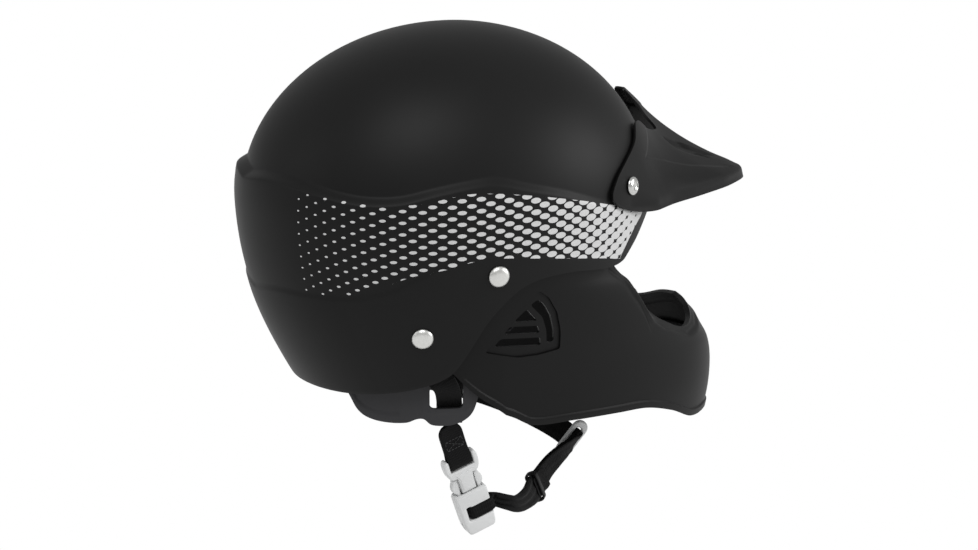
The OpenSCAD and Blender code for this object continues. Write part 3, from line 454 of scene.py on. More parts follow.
# Sewing thread, a shade lighter than the webbing.
thread, tree, bsdf = material("polyester_thread", 0.6)
twist = add(tree, "ShaderNodeTexWave", {"Vector": on_object(tree), "Scale": WAVE/(0.8*MM), "Distortion": 1.0})
colour_by(tree, bsdf, twist.outputs["Fac"], "#0E0E0F", "#1E1E20")

# Tumbled steel rivets and turned steel screws: fine marks blur what they mirror.
def metal(name, dark, light, roughness, mark):
    made, tree, bsdf = material(name, roughness, Metallic=1.0)
    fine = add(tree, "ShaderNodeTexNoise", {"Vector": on_object(tree), "Scale": 1000/mark, "Detail": 3.0})
    colour_by(tree, bsdf, fine.outputs["Fac"], dark, light)
    roughness_by(tree, bsdf, fine.outputs["Fac"], roughness - 0.06, roughness + 0.08)
    return made

rivet_steel = metal("steel_tumbled_satin", "#C8C8C5", "#E2E2DF", 0.36, 0.9)
screw_steel = metal("steel_turned_bright", "#B0B0AE", "#DADAD8", 0.22, 0.7)
print("materials:", len(bpy.data.materials))

def dress(obj, made, body, slot_name, *stands_for):
    """Gives a finished piece its material and body, and hides the solids that it stands for; slot_name is not
    used.
    """
    obj.data.materials.clear()
    obj.data.materials.append(made)
    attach(obj, body)
    if stands_for:
        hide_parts(*stands_for)
    spread = np.ptp(coordinates(obj.data), axis=0)*1000
    print(obj.name, len(obj.data.polygons), "faces,", spread.round(1).tolist(), "mm")
    return obj

# %% [markdown]
# ## Shell
# One moulding with a raised band that stands out most at the nape and fades towards the face. It
# could be a subdivision cage, but its rule is known, so the surface is computed: rows of points
# crowd where the band's two steps turn, and are sparse over the plain dome.

# %% Shell
CROWN_START, ROW_STEP = math.radians(88.5), 0.12

def shell_rows(t):
    """Heights of each row of points: dome, upper step, face, lower step and skirt."""
    s = np.abs(t)
    edge, top, bottom = curve(SHELL_EDGE, s), curve(BAND_TOP, s), curve(BAND_BOTTOM, s)
    start = top + 6
    dome = [DOME*np.sin(mix(CROWN_START, np.arcsin(start/DOME), u)) for u in np.linspace(0, 1, 46)**0.9]
    step = [start - d for d in np.linspace(0.6, 12, 20)]
    face = [mix(top - 6, bottom + 4, u) for u in np.linspace(0.12, 0.88, 10)]
    low = [bottom + d for d in np.linspace(4, -4, 16)]
    skirt = [mix(bottom - 4, edge, u) for u in np.linspace(0.06, 1, 26)]
    rows = dome + step + face + low + skirt
    count = len(rows)
    return np.stack([np.maximum(row, edge + (count - 1 - k)*ROW_STEP) for k, row in enumerate(rows)])

angles = signed(np.linspace(0, 360, 300, endpoint=False))
heights = shell_rows(angles)
shell = sheet_mesh("shell_moulding", shell_point(angles[None, :], heights), wrap=True, cap=True)
wall(shell, WALL, 0.9)
dress(shell, shell_plastic, "helmet", "shell_plastic", "outer_shell")

# %% [markdown]
# ## Chin guard
# The guard is a second moulding that tucks under the shell and comes forward round the jaw, with a
# bead along its lower edge and a rim that rolls in at the face port, behind a fine groove. Its side
# grille is a shallow pocket with four slots, cut with Boolean because a cut through a curved wall is
# exactly what that tool is for.

# %% Chin guard surface
REACH, JAW, CHIN, RIM_ROLL = 187.0, 86.0, 163.0, 3.0
GUARD_TOP = [(0, -86), (12, -89), (24, -95), (34, -96), (43, -87), (49, -76), (51.2, -62), (52.3, -44),
             (56, -29), (66, -26), (80, -27), (89, -29), (93, -22), (99, -22), (102, -40), (106, -72),
             (109, -86)]
GUARD_BOTTOM = [(0, -CHIN), (20, 2 - CHIN), (35, 3.4 - CHIN), (46, -149), (55, -142), (63, -140.5),
                (75, -139.3), (84, -138), (88.5, -130.5), (94, -123), (100, -115), (105, -106), (109, -97)]
GUARD_REACH = [(-175, REACH - 6), (-150, REACH - 1), (-135, REACH), (-122, REACH - 0.8), (-112, REACH - 3.5),
               (-103, REACH - 9), (-95, REACH - 13.5), (-86, REACH - 17.5), (-80, REACH - 20),
               (-65, REACH - 30),
               (-52, REACH - 44)] + [
               (z, float(FRONT*closing(z, FRONT_CLOSE) - TUCK)) for z in (-43, -36, -15)]
GUARD_WIDTH = [(-175, JAW - 10), (-150, JAW - 4), (-135, JAW), (-112, JAW + 4)] + [
               (z, float(SIDE*closing(z, SIDE_CLOSE) - TUCK)) for z in (-86, -60, -36, -15)]
GUARD_END, BEAD = 109, 1.1
# Outline of the port, and the groove that follows it
PORT = GUARD_TOP[:9] + [(60, -10), (0, -10)]
GROOVE_DEEP, GROOVE_AWAY, GROOVE_HALF = 0.6, 5, 1.1

def guard_point(t, z, out=0.0):
    t, z = np.broadcast_arrays(np.asarray(t, float), np.asarray(z, float))
    tucked = smooth((np.abs(t) - 30)/25)
    return section(t, curve(GUARD_REACH, z), REAR*closing(z, REAR_CLOSE) - TUCK, curve(GUARD_WIDTH, z), z,
                   out + band_out(t, z)*tucked, mix(0.02, FULL, tucked))

def bead(distance):
    """Thickening within about 5 mm of the lower edge."""
    return BEAD*(1 - smooth((distance - 4)/1.5))

# Rows crowd at both edges
shares = [np.linspace(0, 0.13, 18), np.linspace(0.16, 0.86, 34), np.linspace(0.885, 1, 18)]
shares = np.concatenate(shares)[:, None]
angles = np.linspace(-GUARD_END, GUARD_END, 300)[None, :]
top, bottom = curve(GUARD_TOP, np.abs(angles)), curve(GUARD_BOTTOM, np.abs(angles))
heights = mix(top, bottom, shares)
around = angles + 0*heights
port, free = 1 - smooth((np.abs(angles) - 49)/4), 1 - smooth((np.abs(angles) - 104)/4)
groove = GROOVE_DEEP*np.exp(-((-within(around, heights, PORT) - GROOVE_AWAY)/GROOVE_HALF)**2)
rolled = port*RIM_ROLL*(1 - smooth((top - heights)/8))
guard = sheet_mesh("chin_guard_moulding",
                   guard_point(around, heights, free*bead(heights - bottom) - rolled - groove))
wall(guard, GUARD_WALL, 0.8)

# %% Side grille
SLOTS = [
         [(17, -53), (22, -57), (27, -65), (30, -75), (30.5, -82), (25.5, -83), (24.5, -74),
          (21, -65), (12, -56)],
         [(9.5, -58.5), (17.5, -67), (1, -66)], [(-1.5, -69), (18.5, -70.5), (20, -75.5), (-5, -73.6)],
         [(-7, -76.5), (20.8, -78.6), (21.3, -84), (-11, -81.2)]]
POCKET = [(17, -47), (24, -52), (31, -63), (34.5, -76), (35, -88), (20, -90), (5, -90), (-17, -84.5),
          (-9, -74), (2, -60)]

POCKET_DEEP, BLOCK_OUT = 1.2, 4.0

def side_prism(name, outline, near, far):
    """Prism over an outline given as (forward, up), between two distances to the side."""
    ring = round_corners(outline, 2.0, 4)
    n = len(ring)
    points = [(x, -f, z) for x in (near, far) for f, z in ring]
    faces = [list(range(n)), list(range(2*n - 1, n - 1, -1))]
    faces += [[i, n + i, n + (i + 1) % n, (i + 1) % n] for i in range(n)]
    return face_out(mesh_object(name, points, faces))

def cut(obj, cutter, operation="DIFFERENCE"):
    modifier(obj, "BOOLEAN", object=cutter, operation=operation, solver="EXACT")
    finished(obj)
    bpy.data.objects.remove(cutter)

for side in (-1, 1):
    zs, ts = np.linspace(-42, -98, 24)[:, None], side*np.linspace(62, 106, 40)[None, :]
    lid = sheet_mesh("pocket_block", guard_point(ts + 0*zs, zs + 0*ts, BLOCK_OUT))
    thicken(lid, side*(BLOCK_OUT + POCKET_DEEP))
    face_out(finished(lid))
    cut(lid, side_prism("pocket_outline", POCKET, -side*60, -side*120), "INTERSECT")
    cut(guard, lid)
    for k, outline in enumerate(SLOTS):
        cut(guard, side_prism("slot_%d" % k, outline, -side*60, -side*120))
shade(guard, 35)
dress(guard, guard_plastic, "helmet", "guard_plastic", "face_guard")

# %% [markdown]
# ## Visor
# A thin flexible moulding held by one screw each side. It stands off the shell and runs out to a
# pointed lip, so its surface is the shell pushed forward by a share that grows towards the lip. A
# tongue with a notch on each side lies over the brow. The flat flank and the scooped hollow beside
# the ridge are outlines on that surface, and the points inside them are moved in.

# %% Visor
GAP, VISOR_WALL, VISOR_REACH, VISOR_END = 0.8, 2.4, 216.5, 59.0
LIP_Z, LIP_DEEP, LIP_SWEEP = -10.0, 7.0, 150.0
FLANK_DEEP, SCOOP_DEEP = 0.5, 1.1
# The wall is this much thinner than the solid's, so that the visor clears the shell as it tilts
THINNER = 0.7
LIP_FALL = [(0, 0), (0.03, 0.008), (0.094, 0.046), (0.189, 0.122), (0.272, 0.2), (0.44, 0.4), (0.56, 0.555),
            (0.637, 0.632), (0.715, 0.703), (0.85, 0.83), (1, 1)]
RIDGE = [(LIP_Z, 1), (LIP_Z + LIP_DEEP, 0.985), (2, 0.885), (9.6, 0.685), (19.3, 0.483), (30, 0.32),
         (40, 0.218), (50, 0.16), (58, 0.12), (66, 0.09)]
VISOR_TOP = [(0, 57), (3.5, 57), (5, 55), (6.2, 45), (7.5, 35), (9, 32), (12, 32), (17, 34), (22, 37.5),
             (26, 42.5), (30, 44.3), (34, 43), (41, 35), (49, 27), (55, 19), (58, 12), (VISOR_END, 8)]
FACET = [(0, 45), (0, -1), (9, 1.5), (17.5, 8.2), (25.2, 16), (37.2, 23.5), (29, 31), (21.5, 38), (18, 45)]
SCOOP = [(12, 27.5), (12.5, 19), (9.8, 12.3), (6.8, 8.8), (2.7, 7), (3.5, 11.5), (5, 16.5), (8.5, 20.5)]
VISOR_BOTTOM = [(0, LIP_Z), (40, LIP_Z), (45, -9), (51, -5), (56, -1), (58, 2), (VISOR_END, 4.5)]

def visor_point(t, z):
    foot = shell_point(t, z, GAP + VISOR_WALL)
    at_lip = shell_point(t, LIP_Z + 0*z, GAP + VISOR_WALL)
    lip = VISOR_REACH - LIP_SWEEP*curve(LIP_FALL, np.abs(at_lip[..., 0])/SIDE)
    reach = np.maximum(0, lip + at_lip[..., 1])*smooth((51 - np.abs(t))/11)
    share = curve(RIDGE, z)**(1 + np.abs(t)/26)
    foot[..., 1] -= reach*share
    return foot

def visor_relief(t, z):
    """How far the flat flank and the scooped hollow beside the ridge lie below the surface."""
    return (FLANK_DEEP*smooth((within(t, z, FACET) + 0.8)/1.6)
            + SCOOP_DEEP*smooth((within(t, z, SCOOP) + 0.5)/2.6))

ts = np.linspace(-VISOR_END, VISOR_END, 240)[None, :]
top, bottom = curve(VISOR_TOP, np.abs(ts)), curve(VISOR_BOTTOM, np.abs(ts))
knee = np.maximum(LIP_Z + LIP_DEEP, mix(bottom, top, 0.25))
low = mix(bottom, knee, np.linspace(0, 1, 16)[:, None])
high = mix(knee, top, np.linspace(0, 1, 60)[1:, None])
heights = np.vstack([low, high])[::-1]
around = ts + 0*heights
surface = visor_point(around, heights)
out_way = grid_normals(surface)
out_way *= np.sign((out_way*surface).sum(-1, keepdims=True))
surface -= visor_relief(around, heights)[..., None]*out_way
visor = sheet_mesh("visor_moulding", surface)
wall(visor, VISOR_WALL - THINNER, 0.8)
dress(visor, visor_plastic, "visor", "visor_plastic", "visor")

# %% [markdown]
# ## Copies on points
# Rivets, screws, stitches, ribs and printed dots all repeat one small shape. They could be copied
# by a loop in the script, but one Geometry Nodes tree shows the idea better: points carry a turn
# and a size, the tree puts the template on each, and the result is baked to a plain mesh.

# %% Copy tree
def copy_tree():
    tree = bpy.data.node_groups.new("place_copies", "GeometryNodeTree")
    for name, kind in (("Points", "Geometry"), ("Template", "Object"), ("Size factor", "Float"),
                       ("Finish", "Material")):
        tree.interface.new_socket(name, in_out="INPUT", socket_type="NodeSocket" + kind)
    tree.interface.new_socket("Copies", in_out="OUTPUT", socket_type="NodeSocketGeometry")
    entry = add(tree, "NodeGroupInput").outputs
    points = add(tree, "GeometryNodeMeshToPoints", {"Mesh": entry["Points"]})
    template = add(tree, "GeometryNodeObjectInfo", {"Object": entry["Template"], "As Instance": True})
    turn = add(tree, "GeometryNodeInputNamedAttribute", {"Name": "turn"}, data_type="FLOAT_VECTOR")
    size = add(tree, "GeometryNodeInputNamedAttribute", {"Name": "size"}, data_type="FLOAT_VECTOR")
    grown = add(tree, "ShaderNodeVectorMath", {0: size.outputs["Attribute"], "Scale": entry["Size factor"]},
                operation="SCALE")
    aim = add(tree, "FunctionNodeEulerToRotation", {"Euler": turn.outputs["Attribute"]})
    copies = add(tree, "GeometryNodeInstanceOnPoints", {
        "Points": points.outputs[0], "Instance": template.outputs["Geometry"],
        "Rotation": aim.outputs["Rotation"], "Scale": grown.outputs["Vector"]})
    plain = add(tree, "GeometryNodeRealizeInstances", {"Geometry": copies.outputs[0]})
    finish = add(tree, "GeometryNodeSetMaterial", {"Geometry": plain.outputs[0], "Material": entry["Finish"]})
    link(tree, finish.outputs[0], add(tree, "NodeGroupOutput").inputs["Copies"])
    return tree

COPY_TREE = copy_tree()

def copies(name, places, turns, sizes, template, made, factor=1.0):
    """Template on every place (millimetres), turned and scaled, as one plain mesh."""
    obj = mesh_object(name, places, [])
    for key, values in (("turn", turns), ("size", sizes)):
        attribute = obj.data.attributes.new(key, "FLOAT_VECTOR", "POINT")
        attribute.data.foreach_set("vector", np.asarray(values, np.float32).ravel())
    m = obj.modifiers.new("copies", "NODES")
    m.node_group = COPY_TREE
    values = {"Template": template, "Size factor": factor, "Finish": made}
    for socket in COPY_TREE.interface.items_tree:
        if socket.name in values:
            m[socket.identifier] = values[socket.name]
    finished(obj)
    bpy.data.objects.remove(template)
    return obj

def turn_of(x, y, z):
    """Euler angles of a frame given by its three axes."""
    return tuple(Matrix((x, y, z)).transposed().to_euler())

def shell_stand(t, z):
    """Place on the shell with its axes: along the level, up the face, and outwards."""
    along = shell_point(t + 0.5, z) - shell_point(t - 0.5, z)
    rise = shell_point(t, z + 0.5) - shell_point(t, z - 0.5)
    n, x = unit(np.cross(rise, along)), unit(along)
    return shell_point(t, z), x, np.cross(n, x), n

def lathe(name, profile, steps):
    """Turned solid about Z from (radius, height) points, its first and last on the axis."""
    rings = [[(r*math.cos(q), r*math.sin(q), z) for q in circle(steps)] for r, z in profile[1:-1]]
    points = [(0, 0, profile[0][1])] + [p for ring in rings for p in ring] + [(0, 0, profile[-1][1])]
    last, final = len(points) - 1, 1 + (len(rings) - 1)*steps
    faces = []
    for j in range(steps):
        k = (j + 1) % steps
        faces += [[0, 1 + j, 1 + k], [last, final + k, final + j]]
        faces += [[i + j, i + steps + j, i + steps + k, i + k] for i in range(1, final, steps)]
    return face_out(mesh_object(name, points, faces))

def fasteners(name, spot, lift, profile, steel, slot_name, node):
    """The same turned piece on both sides, square to the shell, lift (mm) above it."""
    stands = [shell_stand(side*spot[0], spot[1]) for side in (1, -1)]
    pair = copies(name, [place + lift*n for place, x, y, n in stands],
                  [turn_of(x, y, n) for place, x, y, n in stands], np.ones((2, 3)),
                  lathe("one_fastener", profile, 64), steel)
    dress(shade(pair, 40), steel, "helmet", slot_name, node)

print("inputs:", [item.name for item in COPY_TREE.interface.items_tree])

# %% [markdown]
# ## Printed dots
# The band carries a halftone fade, a common screen-print pattern: staggered ovals that are fine at
# the back and nearly touch at the face port. They lie flat first, in millimetres along the band and
# up, are trimmed at the print's border, and are then wrapped a tenth of a millimetre over the shell.

# %% Dot pattern
DOT_ALONG, DOT_UP = 6.0125, 7.2
DOT_PHASE = [(-40, -15.5), (-20, -13.5), (-8, -12.3), (6, -11.3), (18, -11.1), (30, -11.4), (52, -12.9),
             (74, -15.1), (97, -17), (109, -17.3), (122, -16.7), (148, -14.5), (173, -11.2),
             (196, -8.5), (215, -6.5)]
DOT_LENGTH = [(-30, 10.6), (-20, 9.8), (-8, 9.2), (6, 8.6), (18, 8.2), (41, 7.5), (63, 6.9), (85, 6.3),
              (97, 6), (109, 5.8), (122, 5.5), (135, 5), (148, 4.4), (161, 3.8), (173, 3.1), (185, 2.5),
              (196, 1.9), (210, 1.3)]
DOT_HEIGHT = [(-30, 5.9), (-20, 5.4), (-8, 5.0), (6, 4.7), (18, 4.4), (41, 3.9), (63, 3.4), (85, 2.95),
              (97, 2.7), (109, 2.5), (122, 2.3), (135, 2.1), (148, 1.9), (161, 1.7), (173, 1.5),
              (185, 1.35), (196, 1.15), (210, 1.0)]
PRINT_TOP = [(-50, -12.2), (-25.6, -5.2), (-9.4, -0.7), (19.8, 6.8), (47.9, 12.8), (64.7, 15.7),
             (80.8, 17.9), (99.5, 19), (110.5, 17.8), (127.3, 14.7), (144.6, 13.5), (175.6, 15.1),
             (215, 19.5)]
PRINT_BOTTOM = [(-50, -38), (-16.8, -36.1), (1.1, -32.7), (18.5, -29.8), (56.1, -24.7), (84, -22.2),
                (99.5, -23.3), (110.7, -26.2), (122.1, -28.3), (138.5, -31.6), (160.4, -39.6),
                (174.2, -43.6), (191.6, -46), (215, -43.7)]
PRINT_FRONT = [(-40, -12.3), (-36.1, -15.1), (-27.5, -22.4), (-18.4, -32.3), (-11.1, -44.5), (0, -58.3)]

# Distance along the band at its middle height, measured from 60 degrees
fine_t = np.linspace(20, 180, 641)
along_mm = run_length(shell_point(fine_t, np.full(641, -10.0)))
along_mm -= np.interp(60, fine_t, along_mm)

spots = []
for k in range(-6, 39):
    s = -20.5 + DOT_ALONG*k
    for m in range(-8, 9):
        z = float(curve(DOT_PHASE, s)) + DOT_UP*(m + 0.5*(k % 2))
        if curve(PRINT_BOTTOM, s) - 3 < z < curve(PRINT_TOP, s) + 3:
            spots.append((s, z))
spots = np.array(spots)
along = spots[:, 0]
sizes = np.stack([curve(DOT_LENGTH, along), curve(DOT_HEIGHT, along), np.ones(len(spots))], 1)
print("dots a side:", len(spots))

# %% Dots on the shell
SIDES, INK_THICK, LEAST_TALL, LEAST_LONG = 20, 0.1, 0.45, 0.6
disc = [(0, 0, 0)] + [(r*math.cos(q), r*math.sin(q), 0) for r in (0.25, 0.5) for q in circle(SIDES)]
ring = [(1 + j, 1 + (j + 1) % SIDES) for j in range(SIDES)]
disc_faces = [[0, j, k] for j, k in ring] + [[j, j + SIDES, k + SIDES, k] for j, k in ring]
dots = copies("printed_dots", np.c_[spots, np.zeros(len(spots))], np.zeros((len(spots), 3)), sizes,
              mesh_object("one_dot", disc, disc_faces), ink)
flat = coordinates(dots.data).reshape(len(spots), -1, 3)/MM
face_list = [list(p.vertices) for p in dots.data.polygons][:len(disc_faces)]
bpy.data.objects.remove(dots)
flat[..., 1] = np.clip(flat[..., 1], curve(PRINT_BOTTOM, flat[..., 0]), curve(PRINT_TOP, flat[..., 0]))
flat[..., 0] = np.maximum(flat[..., 0], curve(PRINT_FRONT, flat[..., 1]))
kept = flat[(np.ptp(flat[..., 1], axis=1) > LEAST_TALL) & (np.ptp(flat[..., 0], axis=1) > LEAST_LONG)]
t = np.interp(kept[..., 0], along_mm, fine_t)
points, faces = [], []
for side in (1, -1):
    for dot in shell_point(side*t, kept[..., 1], INK_THICK):
        start = len(points)
        points += dot.tolist()
        faces += [[start + i for i in (face if side > 0 else face[::-1])] for face in face_list]
dots = mesh_object("printed_dots", points, faces)
outwards = Vector(shell_stand(float(t[0, 0]), float(kept[0, 0, 1]))[3])
if dots.data.polygons[0].normal.dot(outwards) < 0:
    dots.data.flip_normals()
dress(dots, ink, "helmet", "shell_plastic")

# %% [markdown]
# ## Rivets and screws
# Tumbled steel rivets join the straps and the guard to the shell, and a turned screw holds each side
# of the visor. Each is one turned profile, so a lathe is the natural tool, placed twice by the copy
# tree.

# %% Rivets
# Shell and its gap, the strap's room, strap and washer: what a rivet holds together
STACK_REAR = TUCK + STRAP_PLAY + WEB_THICK + SEAT + WASHER + SEAT
STACK_FRONT = STACK_REAR + GUARD_WALL
dome = [(0, 3.05), (2.4, 3.0), (4.0, 2.75), (5.3, 2.2), (6.2, 1.45), (6.65, 0.8), (6.8, 0.35), (6.7, 0.05),
        (6.4, 0)]
for name, spot, depth in (("front", (95.5, -33.5), STACK_FRONT), ("rear", (117, -71.5), STACK_REAR)):
    tail = [(2.5, 0), (2.5, -depth), (3.9, -depth - 0.1), (3.8, -depth - 1.2), (3.2, -depth - 1.5),
            (0, -depth - 1.6)]
    fasteners(name + "_rivet_pair", spot, 0.2, dome + tail, rivet_steel, "rivet_steel", name + "_rivets")

# %% Visor screws
SCREW = (49.5, 9.5)
head = [(0, 1.5), (2.6, 1.5), (2.8, 1.65), (2.9, 2.1), (3.15, 2.25), (3.9, 2.1), (4.9, 1.7),
        (5.6, 1.15), (5.95, 0.6), (6.0, 0.2), (5.8, 0)]
shank = [(2.5, 0), (2.5, -12.4), (0, -12.4)]
fasteners("visor_screw_pair", SCREW, GAP + VISOR_WALL + 0.6, head + shank, screw_steel, "screw_steel",
          "visor_screws")
for node, made in (("rivet_washers", rivet_steel), ("visor_nuts", screw_steel),
                   ("visor_washers", keeper_rubber)):
    nodes[node].data.materials.clear()
    nodes[node].data.materials.append(made)

# %% [markdown]
# ## Liner
# Expanded foam fills the space between shell and pads. It is the same head form moved in by the
# shell's wall. Solidify would fold at the crown with so thick a wall, so one sheet runs down the
# outside, round a rim as full as a foam mould leaves it, and up the inside.

# %% Liner
LINER_EDGE = [(0, 9), (36, 2), (52, -10), (75, -12), (95, -12), (108, -24), (122, -50), (140, -70),
              (180, -78)]
# The rows start a little off the pole, where the form moved in would turn inside out
LINER_THICK, LINER_START, RIM_TALL, WALL_START = 15, math.radians(85), 4, 14
angles = signed(np.linspace(0, 360, 180, endpoint=False))
low, crown = curve(LINER_EDGE, np.abs(angles)), DOME - TUCK
foot = low + WALL_START
rows = [crown*np.sin(mix(LINER_START, np.arcsin(foot/crown), u)) for u in np.linspace(0, 1, 40)]
rows += [mix(foot, low + RIM_TALL, u) for u in (0.25, 0.5, 0.75, 1)]
outer = head_point(angles[None, :], np.stack(rows), TUCK)
inner = outer - LINER_THICK*grid_normals(outer, True)
middle, half = (outer[-1] + inner[-1])/2, (outer[-1] - inner[-1])/2
rim = [middle + math.copysign(abs(math.cos(q))**0.6, math.cos(q))*half
       - np.array([0, 0, RIM_TALL*math.sin(q)**0.6]) for q in np.radians(np.linspace(12, 168, 11))]
liner = sheet_mesh("foam_liner", np.concatenate([outer, rim, inner[::-1]]), wrap=True, cap="both")
shade(liner, 40)
for side in (1, -1):
    hole = lathe("screw_room", [(0, 4), (8, 4), (8, -18), (0, -18)], 48)
    cut(liner, place_mesh(hole, frame_at(*shell_stand(side*SCREW[0], SCREW[1]))))
dress(shade(liner, 40), liner_foam, "helmet", "liner_foam", "impact_liner")

# %% [markdown]
# ## Comfort pads
# Each pad is soft foam in a knitted bag, sewn flat along one channel and bound round its edge. Two
# sheets, one on the liner and one with a crown, are closed and remeshed, and then a cloth simulation
# with air pressure inside rounds them. The channel is pressed in and the binding added afterwards.

# %% Pad tools
def moved_out(grid, depth, wrap=False):
    return grid + depth*grid_normals(grid, wrap)

def patch(t0, t1, low, high, rows, cols):
    """Angles and heights of a patch with rounded corners, rows from the top down."""
    u, v = np.linspace(-1, 1, rows + 1)[:, None], np.linspace(-1, 1, cols + 1)[None, :]
    return mix(t0, t1, 0.5 + 0.5*v*(1 - 0.1*u**4)), mix(high, low, 0.5 + 0.5*u*(1 - 0.14*v**4))

def closed(name, base, crown, wrap):
    """Closed mesh between two grids for the remesh, with the edge of each."""
    rows, cols = base.shape[:2]
    points = np.vstack([base.reshape(-1, 3), crown.reshape(-1, 3), base[0].mean(0), crown[0].mean(0)])
    n, sheet = rows*cols, grid_faces(rows, cols, wrap)
    faces = [f[::-1] for f in sheet] + [[n + i for i in f] for f in sheet]
    loop = [(rows - 1)*cols + j for j in range(cols)]
    if wrap:
        faces += [[2*n, j, (j + 1) % cols] for j in range(cols)]
        faces += [[2*n + 1, n + (j + 1) % cols, n + j] for j in range(cols)]
    else:
        loop = list(range(cols)) + [i*cols + cols - 1 for i in range(1, rows)]
        loop += [(rows - 1)*cols + j for j in range(cols - 2, -1, -1)]
        loop += [i*cols for i in range(rows - 2, 0, -1)]
    faces += [[a, b, n + b, n + a] for a, b in zip(loop, loop[1:] + loop[:1])]
    return mesh_object(name, points, faces), points[loop], points[[n + i for i in loop]]

CLOTH_FRAMES = 20

def inflate(obj, held, cap):
    """Swells a remeshed pad with air pressure; held points stay, and none moves more than cap (mm)."""
    start = coordinates(obj.data)
    group = obj.vertex_groups.new(name="held")
    group.add([int(i) for i in np.flatnonzero(held)], 1.0, "REPLACE")
    m = obj.modifiers.new("cloth", "CLOTH")
    m.settings.quality, m.settings.mass = 5, 0.15
    m.settings.bending_stiffness = 0.4
    m.settings.use_pressure, m.settings.uniform_pressure_force = True, 4.0
    m.settings.effector_weights.gravity = 0
    m.settings.vertex_group_mass = "held"
    scene = bpy.context.scene
    for number in range(1, CLOTH_FRAMES + 1):
        scene.frame_set(number)
    swollen = coordinates(obj.evaluated_get(bpy.context.evaluated_depsgraph_get()).data)
    obj.modifiers.clear()
    obj.vertex_groups.clear()
    step = swollen - start
    length = np.linalg.norm(step, axis=1, keepdims=True)
    step *= np.minimum(1, cap*MM/np.maximum(length, 1e-9))
    obj.data.vertices.foreach_set("co", (start + step).ravel())
    scene.frame_set(1)

def tube(points, radius, sides=10):
    """Closed cord through points (mm), for a binding."""
    p = np.asarray(points)
    ahead = np.roll(p, -1, 0) - np.roll(p, 1, 0)
    ahead /= np.linalg.norm(ahead, axis=1, keepdims=True)
    centre = p - p.mean(0)
    side = np.cross(ahead, centre)
    side /= np.linalg.norm(side, axis=1, keepdims=True)
    rise = np.cross(side, ahead)
    a = circle(sides)[None, :, None]
    rings = p[:, None] + radius*(np.cos(a)*side[:, None] + np.sin(a)*rise[:, None])
    n = len(p)
    rows = [(i*sides, (i + 1) % n*sides) for i in range(n)]
    faces = [[here + j, here + (j + 1) % sides, there + (j + 1) % sides, there + j]
             for here, there in rows for j in range(sides)]
    return face_out(mesh_object("binding", rings.reshape(-1, 3), faces))

# %% Pad maker
# The remeshed bag starts a little off its seat and below its full height, which the pressure adds
PAD_LIFT, PAD_RISE, PAD_VOXEL, HELD_BELOW, SWELL_CAP, BINDING = 0.5, 0.86, 2.6, 0.8, 1.6, 1.15

def pad(name, base, thick, swell, channel, body, node, wrap=False):
    """Comfort pad: base grid on its seat, crown by swell, and a sewn channel, all in millimetres."""
    n = grid_normals(base, wrap)
    seat_grid = base - PAD_LIFT*n
    crown = base - (PAD_LIFT + thick*PAD_RISE*swell)[..., None]*n
    obj, low_rim, high_rim = closed(name, seat_grid, crown, wrap)
    modifier(obj, "REMESH", mode="VOXEL", voxel_size=PAD_VOXEL*MM)
    finished(obj)
    flat_base, flat_n, flat_channel = seat_grid.reshape(-1, 3), n.reshape(-1, 3), channel.ravel()
    tree = kdtree.KDTree(len(flat_base))
    for i, point in enumerate(flat_base):
        tree.insert(point, i)
    tree.balance()
    near = np.array([tree.find(Vector(p))[1] for p in coordinates(obj.data)/MM])
    height = -np.einsum("ij,ij->i", coordinates(obj.data)/MM - flat_base[near], flat_n[near])
    inflate(obj, height < HELD_BELOW, SWELL_CAP)
    p = coordinates(obj.data)/MM
    height = np.maximum(0, -np.einsum("ij,ij->i", p - flat_base[near], flat_n[near]))
    p += (height*(1 - flat_channel[near]))[:, None]*flat_n[near]
    obj.data.vertices.foreach_set("co", (p*MM).ravel())
    modifier(obj, "SUBSURF", levels=1, render_levels=1)
    shade(finished(obj), 180)
    rim = tube(mix(low_rim, high_rim, 0.5), min(BINDING, thick*0.16))
    obj = join(name, [obj, shade(rim, 180)])
    obj.name = name
    dress(shade(obj, 180), pad_cloth, body, "pad_cloth", node)
    return obj

def swell_of(rows, cols):
    """Share of full height over a patch, and the dip of the channel along its middle."""
    u, v = np.linspace(-1, 1, rows + 1)[:, None], np.linspace(-1, 1, cols + 1)[None, :]
    return 0.35 + 0.65*(1 - u**4)*(1 - v**4), 1 - 0.42*np.exp(-(v/0.09)**2) + 0*u

def on_liner(t, z):
    return moved_out(head_point(t, z, TUCK), -LINER_THICK - PAD_FIT)

def on_guard(t, z):
    return guard_point(t, z, -GUARD_WALL - 2*SEAT)

# %% Pads
# Name, what it sits on, angles and heights of the patch, thickness, and its sides
PADS = [
    ("brow_pad", on_liner, (-44, 44, 14, 42), 8, (1,)),
    ("side_pad", on_liner, (60, 112, -8, 40), 8, (1, -1)),
    ("nape_pad", on_liner, (145, 215, -62, -14), 8, (1,)),
    ("cheek_pad", on_guard, (64, 92, -124, -92), 12, (1, -1)),
    ("chin_pad", on_guard, (-26, 26, 15 - CHIN, 50 - CHIN), 8, (1,))]
for name, seat, (t0, t1, low, high), thick, sides in PADS:
    t, z = patch(t0, t1, low, high, 20, 28)
    base = seat(signed(t), z)
    swell, channel = swell_of(20, 28)
    for side in sides:
        node = name if len(sides) == 1 else name + ("_right" if side > 0 else "_left")
        form = base if side > 0 else base[:, ::-1]*np.array([-1, 1, 1])
        pad(node + "_cloth", form, thick, swell, channel, "helmet", node)

